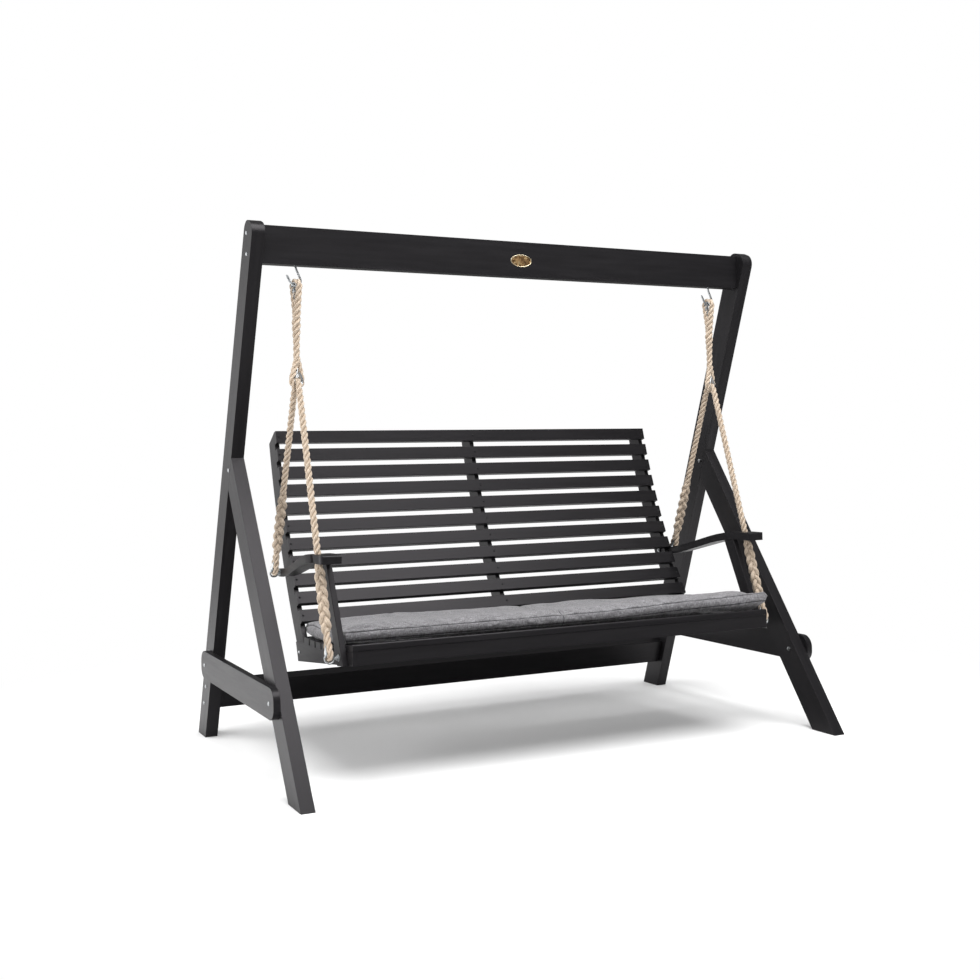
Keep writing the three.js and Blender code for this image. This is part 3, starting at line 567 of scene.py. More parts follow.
# %% Slat tree
slat_tree = geometry_tree(
    "boards_on_marks", Length="Float", Width="Float", Thickness="Float", Edge="Float",
)
half_length = slat_tree.times(slat_tree.given["Length"], 0.5)
spine = slat_tree.first(
    "GeometryNodeCurvePrimitiveLine",
    Start=slat_tree.first("ShaderNodeCombineXYZ", i0=slat_tree.times(half_length, -1.0)),
    End=slat_tree.first("ShaderNodeCombineXYZ", i0=half_length),
)
outline = slat_tree.first(
    "GeometryNodeCurvePrimitiveQuadrilateral",
    Width=slat_tree.given["Thickness"], Height=slat_tree.given["Width"],
)
rounded = slat_tree.first(
    "GeometryNodeFilletCurve", {"mode": "POLY"}, i0=outline, Count=3, Radius=slat_tree.given["Edge"],
)
board = slat_tree.first(
    "GeometryNodeCurveToMesh", Curve=spine, Profile_Curve=rounded, Fill_Caps=True,
)
rows = slat_tree.first(
    "GeometryNodeInstanceOnPoints", Points=slat_tree.given["Geometry"], Instance=board,
    Rotation=slat_tree.first("ShaderNodeCombineXYZ", i0=slat_tree.named("tilt")),
)
end_tree(slat_tree, rows)
print("slat tree:", len(slat_tree.tree.nodes), "nodes")

# %% [markdown]
# The back is a wide curve seen from the side, and the seat a shallow hollow. Each slat lies on
# its curve, at an even pitch, and tilts with it.

# %% Slats along the back and the seat
bench_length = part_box("seat_nosing")[1][0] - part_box("seat_nosing")[0][0]
slat_thick = 20 * MM
slat_edge = 1.5 * MM
back_count = 11
back_slat_high = 40 * MM
slat_fuller = 2.8 * MM  # the real slats look this much wider than the frame's
back_pitch = 63.5 * MM
back_radius = 2200 * MM
back_lean = math.radians(14.9)
seat_count = 7
seat_slat_wide = 48 * MM
seat_pitch = 57 * MM
seat_radius = 2000 * MM
seat_low = Vector((-370, -663)) * MM
seat_rear_y = -292 * MM


def on_back(down):
    """A point down the curve of the back's front face."""
    lean = back_lean + down / back_radius
    y = back_radius * (math.cos(lean) - math.cos(back_lean))
    z = back_radius * (math.sin(back_lean) - math.sin(lean))
    return bench_origin + Vector((0, y, z))


def seat_height(y):
    """The height of the seat's curve at a place in the bench's own frame."""
    return seat_low.y + seat_radius - math.sqrt(seat_radius ** 2 - (y - seat_low.x) ** 2)


def slat_rows(name, marks, tilts, width, node_name):
    """A set of slats, with wide faces that stay flat to the light between their rounded edges."""
    rows = grow(
        name, marks_mesh(f"{name}_marks", marks, [], tilt=tilts), slat_tree,
        length=bench_length, width=width, thickness=slat_thick, edge=slat_edge,
        finish=paints["along_x"],
    )
    even = rows.modifiers.new("flat_faces", "WEIGHTED_NORMAL")
    even.weight = 100
    even.keep_sharp = True
    finished_mesh(rows)
    nodes = [node_name.format(index + 1) for index in range(len(marks))]
    place(rows, "bench", "black_painted_timber", *nodes)
    print(name, len(rows.data.vertices), "vertices")


back_marks, back_tilts = [], []
for index in range(back_count):
    top = on_back(back_pitch * index)
    foot = on_back(back_pitch * index + back_slat_high)
    lean = math.atan2(top.y - foot.y, top.z - foot.z)
    behind = Vector((0, math.cos(lean), -math.sin(lean))) * slat_thick / 2
    back_marks.append((top + foot) / 2 + behind)
    back_tilts.append(-lean)
seat_marks, seat_tilts = [], []
for index in range(seat_count):
    y = seat_rear_y - seat_pitch * index - seat_slat_wide / 2
    lean = math.asin((y - seat_low.x) / seat_radius)
    down = Vector((0, math.sin(lean), -math.cos(lean))) * slat_thick / 2
    seat_marks.append(bench_origin + Vector((0, y, seat_height(y))) + down)
    seat_tilts.append(math.pi / 2 + lean)
slat_rows("back_slats", back_marks, back_tilts, back_slat_high + slat_fuller, "back_slat_{:02d}")
slat_rows("seat_slats", seat_marks, seat_tilts, seat_slat_wide, "seat_slat_{}")

# %% [markdown]
# Rope and wire are both something round on a path, so one geometry tree makes them. The marks are
# the path, and each carries three values: how thick the line is there, how far the lay has turned,
# and whether it is laid rope (three lobes) or a single round strand. The tree also stores the
# place along and around the rope, for the yarns in the finish.

# %% Laid rope and round wire
line_tree = geometry_tree("lines_on_paths", Step="Float", Sides="Int")
path = line_tree.first("GeometryNodeMeshToCurve", i0=line_tree.given["Geometry"])
path = line_tree.first("GeometryNodeCurveSplineType", {"spline_type": "CATMULL_ROM"}, i0=path)
path = line_tree.first(
    "GeometryNodeResampleCurve", {"mode": "LENGTH"}, Curve=path, Length=line_tree.given["Step"],
)
path = line_tree.first("GeometryNodeSetCurveNormal", {"mode": "MINIMUM_TWIST"}, i0=path)
path = line_tree.first("GeometryNodeSetCurveTilt", Curve=path, Tilt=line_tree.named("turned"))
run = line_tree.add("GeometryNodeSplineParameter").outputs["Length"]
position = line_tree.first("GeometryNodeInputPosition")
path = line_tree.store(path, "along", run)
path = line_tree.store(path, "centre", position, "FLOAT_VECTOR")
ring = line_tree.first(
    "GeometryNodeCurvePrimitiveCircle", Resolution=line_tree.given["Sides"], Radius=1.0,
)
ring = line_tree.store(ring, "ring", position, "FLOAT_VECTOR")
tube = line_tree.first(
    "GeometryNodeCurveToMesh",
    Curve=path, Profile_Curve=ring, Scale=line_tree.named("thick"), Fill_Caps=True,
)

# Three touching strands in outline: each lobe is a circle of this radius at this distance, and
# takes up a third of the turn
lobe_radius = 0.52
lobe_out = 0.48
half_lobe = math.pi / 3
ring_place = line_tree.parts(line_tree.named("ring", "FLOAT_VECTOR"))
around = line_tree.maths("ARCTAN2", ring_place[1], ring_place[0])
lobe_angle = line_tree.first(
    "ShaderNodeMath", {"operation": "WRAP"}, i0=around, i1=half_lobe, i2=-half_lobe,
)
lobe_sine = line_tree.times(line_tree.maths("SINE", lobe_angle), lobe_out)
lobe_chord = line_tree.maths(
    "SQRT", line_tree.maths("SUBTRACT", lobe_radius ** 2, line_tree.maths("POWER", lobe_sine, 2.0)),
)
lobe_far = line_tree.times(line_tree.maths("COSINE", lobe_angle), lobe_out)
lobed = line_tree.maths("SUBTRACT", line_tree.plus(lobe_far, lobe_chord), 1.0)
share = line_tree.plus(1.0, line_tree.times(lobed, line_tree.named("lobes")))
centre = line_tree.named("centre", "FLOAT_VECTOR")
spoke = line_tree.vector_maths("SUBTRACT", i0=position, i1=centre)[0]
scaled = line_tree.vector_maths("SCALE", i0=spoke, Scale=share)[0]
moved = line_tree.vector_maths("ADD", i0=centre, i1=scaled)[0]
tube = line_tree.first("GeometryNodeSetPosition", Geometry=tube, Position=moved)
tube = line_tree.first("GeometryNodeSetShadeSmooth", Geometry=tube)
end_tree(line_tree, line_tree.store(tube, "groove", share))


def lines_mesh(name, lines):
    """Marks for several lines, each (points, thickness or thicknesses, lobes, lay length)."""
    points, edges, thick, lobes, turned = [], [], [], [], []
    for route, radius, lobe, lay in lines:
        first = len(points)
        travelled = 0.0
        for index, point in enumerate(route):
            if index:
                travelled += (point - route[index - 1]).length
                edges.append((first + index - 1, first + index))
            points.append(point)
            thick.append(radius[index] if hasattr(radius, "__len__") else radius)
            lobes.append(lobe)
            turned.append(2 * math.pi * travelled / lay if lay else 0.0)
    return marks_mesh(name, points, edges, thick=thick, lobes=lobes, turned=turned)


print("line tree:", len(line_tree.tree.nodes), "nodes")

# %% [markdown]
# Rope fibre. The three strands are laid one way, and the yarns in them the other way, so that on
# the outside the yarns lie nearly straight along the rope. The finish turns its noise back against
# the lay to draw them, darkens them with painted shade where their relief is low, and paints shade
# into the grooves between the strands, darker and browner.

# %% Rope finish
rope_lay = 62 * MM
yarns = new_group(
    "yarns", "ShaderNodeTree",
    {"Ring": "Vector", "Along": "Float", "Lay": "Float"}, {"Height": "Float", "Tone": "Float"},
)
turns = yarns.maths("DIVIDE", yarns.given["Along"], yarns.given["Lay"])
straight = yarns.first(
    "ShaderNodeVectorRotate", {"rotation_type": "Z_AXIS"},
    Vector=yarns.given["Ring"], Angle=yarns.times(turns, 2 * math.pi * 1.12),
)
yarn_place = yarns.parts(straight)


def yarn_noise(stretch, scale, detail):
    """Noise drawn out along the yarns."""
    drawn = yarns.times(yarns.given["Along"], stretch)
    spot = yarns.first("ShaderNodeCombineXYZ", i0=yarn_place[0], i1=yarn_place[1], i2=drawn)
    return yarns.first("ShaderNodeTexNoise", Vector=spot, Scale=scale, Detail=detail)


yarns.feed(yarns.result, Height=yarn_noise(9.0, 11.0, 3.0), Tone=yarn_noise(30.0, 3.0, 4.0))

rope_finish, tree = new_material(
    "rope_fibre", Roughness=0.85, Specular_IOR_Level=0.25, Sheen_Weight=0.15,
)
fibres = tree.placed(
    yarns, Ring=attribute(tree, "ring", "Vector"), Along=attribute(tree, "along", "Fac"), Lay=rope_lay,
)
fibre_color = ramp(
    tree, fibres["Tone"],
    (0.30, (0.385, 0.310, 0.240)), (0.52, (0.515, 0.425, 0.335)), (0.72, (0.62, 0.535, 0.44)),
)
# Painted shade: darker where the yarn relief is low, between the yarns
painted_yarn_shade = ramp(tree, fibres["Height"], (0.34, (0.70, 0.665, 0.63)), (0.60, WHITE))
groove = attribute(tree, "groove", "Fac")
# Painted shade: the colour goes darker and browner in the grooves between the strands
painted_groove_shade = ramp(tree, groove, (0.56, (0.60, 0.525, 0.45)), (0.80, WHITE))
tree.feed(
    tree.shader,
    Base_Color=tint(tree, tint(tree, fibre_color, painted_yarn_shade), painted_groove_shade),
    Normal=bump(tree, 0.7, 0.6 * MM, fibres["Height"]),
)
print("shared effect:", yarns.tree.name)

# %% [markdown]
# Metal. Hot-dip galvanising is a dull blue-grey with soft spangles, bright only where it was
# rubbed. The badge is aged brass: a pale rubbed rim round a mottled, browner field.

# %% Metal finishes
mottle = new_group(
    "mottle", "ShaderNodeTree",
    {"Vector": "Vector", "Scale": "Float"}, {"Tone": "Float", "Height": "Float"},
)
cells = mottle.add(
    "ShaderNodeTexVoronoi", Vector=mottle.given["Vector"], Scale=mottle.given["Scale"],
)
cell_tone = mottle.first("ShaderNodeSeparateColor", i0=cells.outputs["Color"])
cloud = mottle.first(
    "ShaderNodeTexNoise", Vector=mottle.given["Vector"], Scale=mottle.given["Scale"], Detail=6.0,
)
mottle.feed(mottle.result, Tone=mottle.blend(cell_tone, cloud, 0.35), Height=cloud)


def metal(name, scale, rough, *stops, depth=0.1 * MM):
    """A metal with mottled colour and sheen."""
    material, tree = new_material(name, Metallic=1.0)
    spots = tree.placed(mottle, Vector=object_place(tree), Scale=scale)
    tree.feed(
        tree.shader,
        Base_Color=ramp(tree, spots["Tone"], *stops),
        Roughness=tree.remap(spots["Tone"], 0.3, 0.7, *rough),
        Normal=bump(tree, 0.3, depth, spots["Height"]),
    )
    print("metal:", name)
    return material


zinc = metal(
    "galvanised_steel", 420.0, (0.28, 0.46), (0.3, (0.42, 0.44, 0.46)), (0.7, (0.66, 0.68, 0.69)),
)
bolt_zinc = metal(
    "weathered_zinc", 420.0, (0.34, 0.50), (0.3, (0.27, 0.28, 0.29)), (0.7, (0.46, 0.47, 0.48)),
)
black_screw = metal(
    "blackened_screw", 600.0, (0.4, 0.55), (0.3, (0.02, 0.02, 0.021)), (0.7, (0.045, 0.045, 0.047)),
)
brass_field = metal(
    "aged_brass_field", 130.0, (0.35, 0.6),
    (0.34, (0.22, 0.125, 0.055)), (0.48, (0.36, 0.215, 0.10)),
    (0.62, (0.50, 0.33, 0.155)), (0.78, (0.36, 0.30, 0.18)),
    depth=0.3 * MM,
)
brass_rim = metal(
    "aged_brass_rim", 300.0, (0.22, 0.4), (0.3, (0.62, 0.50, 0.30)), (0.7, (0.86, 0.78, 0.60)),
)

# %% [markdown]
# The splices. A rope's end is worked back into its own side, which gives a fat plait above each
# eye of the lower ropes. Three thick strands swing from side to side in it, each a third of a turn
# behind the last, and pass over each other in the middle. The plait ends in a taper, where the
# strands thin out into the rope.

# %% Splices
splice_long = 236 * MM
splice_taper = 70 * MM
splice_start = 16 * MM
splice_sunk = 10 * MM
splice_step = 5 * MM
plait_lay = 96 * MM
plait_wide = 10.6 * MM
plait_deep = 6.4 * MM
strand_radius = 6.9 * MM
strand_count = 3
thin_end = 0.42
thin_start = 0.72
plait_faces = Vector((0.895, -0.445, 0))


def splice(throat, along, turned):
    """The plaited strands of a splice, from its throat along the rope."""
    deep = along.cross(plait_faces).normalized()
    wide = deep.cross(along).normalized()
    steps = round(splice_long / splice_step)
    strands = []
    for index in range(strand_count):
        route, thick = [], []
        for step in range(steps + 1):
            run = splice_long * step / steps
            angle = turned + 2 * math.pi * (run / plait_lay + index / strand_count)
            ending = min(1.0, (splice_long - run) / splice_taper)
            starting = min(1.0, run / splice_start)
            shrink = thin_end + (1 - thin_end) * ending
            shrink *= thin_start + (1 - thin_start) * starting
            swing = wide * plait_wide * math.sin(angle) + deep * plait_deep * math.sin(2 * angle)
            route.append(throat + along * run + swing * shrink)
            thick.append(strand_radius * shrink)
        strands.append((route, thick, 0.0, rope_lay))
    return strands


print("a splice:", strand_count, "strands over", round(splice_long / MM), "mm")

# %% [markdown]
# The ropes themselves. The upper ropes are short, so their splices only swell the rope. The lower
# ropes thin out to a core where the plaited strands wrap them, and squeeze a little in the bends.

# %% Ropes
laid_radius = 10.9 * MM  # over the lobes, so that the rope measures 20 mm with its grooves
bent_radius = 9.7 * MM
core_radius = 7.6 * MM
swell = 5.0 * MM
low_swell = 1.2 * MM
swell_rise = 0.08  # shares of the straight run over which the swelling comes and goes
swell_run = 0.6
eye_swell = 0.6
swell_points = 6
free_points = 5
bend_steps = 12


def upper_rope(side):
    """The line of an upper rope: from the hook's eye to the eye round the lower rope."""
    top_eye, low_eye = upper_eyes(side)
    straight = between(top_eye[0], low_eye[0])
    radii = []
    for index in range(len(straight)):
        share = (index + 1) / (len(straight) + 1)
        rise = min(1.0, share / swell_rise)
        radii.append(laid_radius + swell * rise * max(0.0, 1 - share / swell_run))
    thick = [laid_radius] * len(top_eye) + radii + [bent_radius] * len(low_eye)
    for index in range(swell_points):
        fading = 1 - index / swell_points
        thick[len(top_eye) - 1 - index] += swell * fading * eye_swell
        thick[len(top_eye) + len(radii) + index] = laid_radius + low_swell * fading
    return [(top_eye + straight + low_eye, thick, 1.0, rope_lay)]


def leg_radii(count):
    """The rope's radii down a leg, from the bend to its throat."""
    radii = []
    for index in range(count):
        free = min(1.0, (index + 1) / free_points)
        spliced = (count - index) * route_step < splice_long - splice_taper
        radii.append(core_radius if spliced else bent_radius + (laid_radius - bent_radius) * free)
    return radii


def lower_rope(side):
    """The lines of a lower rope: from the front eye over the bend to the rear eye."""
    eyes = {end: end_eye(side, end) for end in legs}
    throats, tops, splices = {}, {}, []
    for end, turned in (("front", 0.4), ("rear", 1.3)):
        start, up_leg, spoke = legs[end]
        throats[end] = eyes[end][0]
        tops[end] = Vector((side * rope_x, start.y, start.z))
        splices += splice(throats[end] - up_leg * splice_sunk, up_leg, turned)
    over = []
    for step in range(bend_steps + 1):
        angle = legs["front"][2] + (legs["rear"][2] - legs["front"][2]) * step / bend_steps
        over.append(Vector((
            side * rope_x,
            bend_point.y + rope_bend * math.cos(angle),
            bend_point.z + rope_bend * math.sin(angle),
        )))
    front_run = between(throats["front"], tops["front"])
    rear_run = between(tops["rear"], throats["rear"])
    route = eyes["front"] + front_run + over + rear_run + eyes["rear"]
    thick = [bent_radius] * len(eyes["front"]) + leg_radii(len(front_run))[::-1]
    thick += [bent_radius] * len(over)
    thick += leg_radii(len(rear_run)) + [bent_radius] * len(eyes["rear"])
    return [(route, thick, 1.0, rope_lay), *splices]


def laid_ropes(name, lines, step, body, *nodes):
    """Ropes on one body, laid along their lines."""
    rope = grow(
        name, lines_mesh(f"{name}_routes", lines), line_tree, step=step, sides=24, finish=rope_finish,
    )
    place(rope, body, "rope_fibre", *nodes)
    print(name, len(rope.data.polygons), "faces")


for name, side in sides.items():
    laid_ropes(
        f"{name}_upper_rope_laid", upper_rope(side), 2.5 * MM, f"{name}_rope_top", f"{name}_upper_rope",
    )
laid_ropes(
    "lower_ropes_laid", lower_rope(-1) + lower_rope(1), 3 * MM, "bench",
    "left_lower_rope", "right_lower_rope",
)

# %% [markdown]
# Thimbles line the eyes, so that the steel doesn't chafe the rope. Each is a strip of sheet steel
# bent to a groove that cradles the rope's inner side, with its rims standing out on both faces.

# %% Thimbles
thimble_in = 9.8 * MM
clear = 0.05 * MM
thimble_reach = math.radians(78)
thimble_ends = 3  # points of the eye's route left free at each end
across_steps = 5
narrow_points = 4


def smooth_mesh(name, points, faces, finish, sharp=40):
    """A mesh object from points and faces, smooth but for its sharp edges."""
    mesh = bpy.data.meshes.new(name)
    mesh.from_pydata([tuple(point) for point in points], [], faces)
    mesh.materials.append(finish)
    mesh.update()
    smooth_faces(mesh, sharp)
    print(name, len(faces), "faces")
    return link_object(name, mesh)


def thimble(eye, plane, outside, points, faces):
    """Adds the groove that follows an eye's route, on the side of its centre."""
    route = eye[thimble_ends:-thimble_ends]
    first = len(points)
    angles = [thimble_reach * k / across_steps for k in range(-across_steps, across_steps + 1)]
    profile = [(thimble_in, angle) for angle in angles]
    profile += [(outside, angle) for angle in reversed(angles)]
    for index, point in enumerate(route):
        ahead = (route[min(index + 1, len(route) - 1)] - route[max(index - 1, 0)]).normalized()
        inward = plane.cross(ahead).normalized()
        tip = min(index, len(route) - 1 - index) / narrow_points
        narrow = min(1.0, 0.35 + 0.65 * tip)
        for radius, angle in profile:
            turn = angle * narrow
            points.append(point + (inward * math.cos(turn) + plane * math.sin(turn)) * radius)
    count = len(profile)
    for row in range(len(route) - 1):
        for column in range(count):
            a = first + row * count + column
            b = first + row * count + (column + 1) % count
            faces.append((a, b, b + count, a + count))
    faces.append(tuple(range(first + count - 1, first - 1, -1)))
    last = first + (len(route) - 1) * count
    faces.append(tuple(range(last, last + count)))


for name, side in sides.items():
    points, faces = [], []
    top_eye, low_eye = upper_eyes(side)
    thimble(top_eye, LOW_EYE_ACROSS, hook_bend - hook_wire - clear, points, faces)
    thimble(low_eye, TOP_EYE_ACROSS, rope_bend - rope_radius - clear, points, faces)
    made = smooth_mesh(f"{name}_upper_thimbles", points, faces, zinc)
    place(made, f"{name}_rope_top", "galvanised_steel")
points, faces = [], []
for side in sides.values():
    for end in eye_bolts:
        thimble(end_eye(side, end), ALONG_X, end_bend - ring_wire - clear, points, faces)
place(smooth_mesh("lower_thimbles", points, faces, zinc), "bench", "galvanised_steel")

# %% [markdown]
# Hooks and eye bolts are bent from round wire, so they use the same tree as the rope, with no
# lobes. The hook comes out of the beam, kinks to one side, passes under the rope and turns up.

# %% Hooks and eye rings
hook_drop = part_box("beam")[0].z - hook_point.z
hook_in_beam = 30 * MM
hook_inside = 15 * MM
tip_out = 30 * MM
tip_up = 34 * MM
tip_thin = 0.82
ring_points = 34
ring_turn = math.radians(12)
hook_route = [
    (0, hook_drop + hook_in_beam), (0, hook_drop + hook_in_beam / 2), (0, hook_drop),
    (0, hook_drop - 8 * MM), (hook_inside * 0.62, hook_drop * 0.53),
    (hook_inside, hook_drop * 0.31), (hook_inside * 0.87, hook_inside * 0.5),
    (hook_inside * 0.5, hook_inside * 0.13), (0, 0), (-hook_inside * 0.6, hook_inside * 0.22),
    (-tip_out * 0.66, tip_up * 0.42), (-tip_out * 0.84, tip_up * 0.72), (-tip_out, tip_up),
]
hook_thick = [hook_wire] * (len(hook_route) - 1) + [hook_wire * tip_thin]


def bent_wire(name, lines, step, body, nodes):
    """Pieces of round wire on one body, bent along their lines."""
    wires = grow(name, lines_mesh(f"{name}_routes", lines), line_tree, step=step, sides=14, finish=zinc)
    place(wires, body, "galvanised_steel", *nodes)
    print(name, len(wires.data.polygons), "faces")


hook_lines, ring_lines = [], []
for side in sides.values():
    route = [Vector((side * rope_x + x, hang_y, hook_point.z + z)) for x, z in hook_route]
    hook_lines.append((route, hook_thick, 0.0, 0))
    for end, bolt in eye_bolts.items():
        middle = Vector((side * rope_x, bolt.y, bolt.z))
        up_leg = legs[end][1]
        route = []
        for step in range(ring_points):
            angle = ring_turn * step
            spoke = ALONG_X * -side * math.cos(angle) + up_leg * math.sin(angle)
            route.append(middle + spoke * ring_radius)
        ring_lines.append((route, ring_wire, 0.0, 0))
bent_wire("screw_hooks", hook_lines, 2 * MM, "stand", [f"{name}_hook" for name in sides])
bent_wire(
    "eye_rings", ring_lines, 1.5 * MM, "bench",
    [f"{name}_{end}_eye_bolt" for name in sides for end in ("front", "rear")],
)

# %% [markdown]
# Bolts, nuts, washers and threads are all turned on an axis. A mark here is a point on the axis
# with the radius that the piece has there, and the tree spins them into solids.

# %% Turned metal
turned_tree = geometry_tree("turned_on_axes", Sides="Int")
axis = turned_tree.first("GeometryNodeMeshToCurve", i0=turned_tree.given["Geometry"])
rim = turned_tree.first(
    "GeometryNodeCurvePrimitiveCircle", Resolution=turned_tree.given["Sides"], Radius=1.0,
)
end_tree(turned_tree, turned_tree.first(
    "GeometryNodeCurveToMesh",
    Curve=axis, Profile_Curve=rim, Scale=turned_tree.named("thick"), Fill_Caps=True,
))


def turned_pieces(name, pieces, around, body, *nodes, finish=zinc):
    """Turned pieces on one body, each a start point, a direction and (distance, radius) pairs."""
    lines = [
        ([start + direction * at for at, radius in steps], [radius for at, radius in steps], 0.0, 0)
        for start, direction, steps in pieces
    ]
    made = grow(name, lines_mesh(f"{name}_axes", lines), turned_tree, sides=around, finish=finish)
    smooth_faces(made.data, sharp=35)
    place(made, body, "galvanised_steel", *nodes)
    print(name, len(pieces))


def in_mm(*pairs):
    """Distances and radii given in millimetres."""
    return [(at * MM, radius * MM) for at, radius in pairs]


# A small button head has its socket in its top
button_head = in_mm(
    (-2.0, 6.8), (0.3, 6.8), (1.3, 6.3), (2.2, 5.2), (2.7, 3.9),
    (2.8, 3.2), (2.4, 3.0), (0.2, 3.0), (0.1, 0.2),
)
washer = in_mm((-1.5, 10.5), (0.9, 10.5), (1.2, 10.2), (1.2, 8.4))
washer_thick = 1.2 * MM
nut = in_mm((-1.0, 7.2), (0.0, 7.6), (5.2, 7.6), (6.0, 6.6))
bolt_end = in_mm((0.0, 4.0), (8.5, 4.0), (9.5, 3.2))
screw_head = in_mm((-2, 3.6), (0.2, 3.6), (0.7, 2.8), (0.8, 1.5), (0.1, 1.3))
small_head = [(at, radius * 0.8) for at, radius in button_head]

# %% [markdown]
# The stand's bolts show a button head outside, and a nut with the bolt's end inside, but for the
# beam, where the bolts run into the wood. The stretcher has two more on each side.

# %% Bolts of the stand
stretcher_bolts = ((470 * MM, 176 * MM), (495 * MM, 116 * MM))
stand_bolts = [node for node in body_of_node if "bolt" in node and "eye" not in node]
post_outer = abs(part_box("left_post")[0].x)
post_inner = abs(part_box("left_post")[1].x)
brace_outer = abs(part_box("left_side_brace")[0].x)
heads, nuts = [], []
for node in stand_bolts:
    low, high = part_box(node)
    side = -1 if low.x < 0 else 1
    face_x = brace_outer if "brace" in node else post_outer
    middle = Vector((side * face_x, (low.y + high.y) / 2, (low.z + high.z) / 2))
    outward = Vector((side, 0, 0))
    heads.append((middle, outward, button_head))
    if "beam" not in node:
        inner = Vector((side * post_inner, middle.y, middle.z))
        nuts.append((inner, -outward, nut))
        heads.append((inner, -outward, bolt_end))
for side in sides.values():
    for y, z in stretcher_bolts:
        heads.append((Vector((side * post_outer, y, z)), Vector((side, 0, 0)), button_head))
turned_pieces("stand_bolts", heads, 24, "stand", *stand_bolts, finish=bolt_zinc)
turned_pieces("stand_nuts", nuts, 6, "stand", finish=bolt_zinc)

# %% [markdown]
# The eye bolts pass through the bench's ends: a threaded shank between the timber and the ring, a
# washer, and nuts. A smaller bolt holds each side rail to its stile, and blackened screws hold
# each slat to the three stiles or the three bearers.

# %% Bolts and screws of the bench
bench_end = bench_length / 2
stile_thick = 16 * MM
seats = {"rear": 28 * MM, "front": 18 * MM}
thread_pitch = 0.7 * MM
thread_crest = 4.0 * MM
thread_root = 3.45 * MM
lap_bolt = Vector((0, -241, -717)) * MM
screw_inset = 8 * MM
shanks, bench_nuts = [], []
for side in sides.values():
    outward = Vector((side, 0, 0))
    for end, bolt in eye_bolts.items():
        face = Vector((side * (bench_end + seats[end]), bolt.y, bolt.z))
        inner = Vector((side * (bench_end - stile_thick), bolt.y, bolt.z))
        reach = rope_out - ring_radius - seats[end]
        count = max(2, round(reach / thread_pitch))
        threads = [(-2 * MM, thread_crest)]
        for step in range(count + 1):
            threads.append((reach * step / count, thread_crest if step % 2 else thread_root))
        shanks += [(face, outward, threads), (face, outward, washer)]
        if end == "front":
            bench_nuts.append((face + outward * washer_thick, outward, nut))
        bench_nuts.append((inner, -outward, nut))
        shanks.append((inner, -outward, bolt_end))
    lap = bench_origin + lap_bolt
    lap.x = side * bench_end
    shanks.append((lap, outward, small_head))
turned_pieces("eye_bolt_shanks", shanks, 20, "bench")
turned_pieces("bench_nuts", bench_nuts, 6, "bench")

screws = []
for middle, tilt in zip(back_marks + seat_marks, back_tilts + seat_tilts):
    outward = Vector((0, -math.cos(tilt), -math.sin(tilt)))
    if outward.z < -0.5:
        outward = -outward
    for x in (-bench_end + screw_inset, 0.0, bench_end - screw_inset):
        face = Vector((x, middle.y, middle.z)) + outward * slat_thick / 2
        screws.append((face, outward, screw_head))
turned_pieces("slat_screws", screws, 10, "bench", finish=black_screw)

# %% [markdown]
# The badge is a small cast oval. Its rim stands a little proud, then a groove runs round, and the
# field inside it swells gently towards the middle. It stays bare.

# %% Badge
badge_low, badge_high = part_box("badge")
badge_middle = Vector((
    (badge_low.x + badge_high.x) / 2, badge_high.y, (badge_low.z + badge_high.z) / 2,
))
half_wide = (badge_high.x - badge_low.x) / 2
half_high = (badge_high.z - badge_low.z) / 2
badge_thick = badge_high.y - badge_low.y
# Each ring of points has a share of the oval's size and of the badge's thickness
badge_rings = [
    (1.0, 0.0), (1.0, 0.45), (0.985, 0.72), (0.955, 0.88), (0.915, 0.88), (0.89, 0.60), (0.87, 0.52),
    (0.70, 0.66), (0.45, 0.84), (0.20, 0.95), (0.02, 1.0),
]
rim_rings = 6
badge_sides = 72
points, faces = [], []
for ring_index, (share, proud) in enumerate(badge_rings):
    # The rim keeps one width all round, and the field shrinks evenly
    if ring_index <= rim_rings:
        inset = (1 - share) * half_high
        wide, high = half_wide - inset, half_high - inset
    else:
        wide, high = half_wide * share, half_high * share
    for step in range(badge_sides):
        angle = 2 * math.pi * step / badge_sides
        on_ring = Vector((wide * math.cos(angle), -badge_thick * proud, high * math.sin(angle)))
        points.append(badge_middle + on_ring)
for row in range(len(badge_rings) - 1):
    for step in range(badge_sides):
        a = row * badge_sides + step
        b = row * badge_sides + (step + 1) % badge_sides
        faces.append((a, b, b + badge_sides, a + badge_sides))
faces.append(tuple(range((len(badge_rings) - 1) * badge_sides, len(badge_rings) * badge_sides)))
badge = smooth_mesh("oval_badge", points, faces, brass_field, sharp=30)
badge.data.materials.append(brass_rim)
for face in badge.data.polygons:
    if face.index < rim_rings * badge_sides:
        face.material_index = 1
place(badge, "stand", "aged_brass", "badge")

# %% [markdown]
# The cushion's pattern. The pad is a box of cloth that lies a little skewed on the curved seat
# and thins towards the back rest. A point's place on this pattern says how far along, across and
# up the pad it is, and so where its seams run.

# %% Cushion pattern
cushion_side = 6 * MM
cushion_long = bench_length - 2 * stile_thick - 2 * cushion_side
cushion_deep = 405 * MM
cushion_thick = 45 * MM
cushion_rear_thick = 29 * MM
cushion_skew = math.radians(2.55)
cushion_wall = 0.72  # share of the frame solid's height that its upright side takes up
wall_front = 0.76
wall_rear = 0.95
bottom_seam = 0.09
top_seam_drop = 3 * MM
half_long = cushion_long / 2
half_deep = cushion_deep / 2
nosing_front = seat_rear_y - seat_pitch * seat_count - seat_slat_wide
cushion_middle_y = nosing_front + 61 * MM + cushion_deep / 2


def clamp(share):
    """A value kept between 0 and 1."""
    return min(1.0, max(0.0, share))


def ease(share):
    """A smooth step from 0 to 1."""
    share = clamp(share)
    return share * share * (3 - 2 * share)


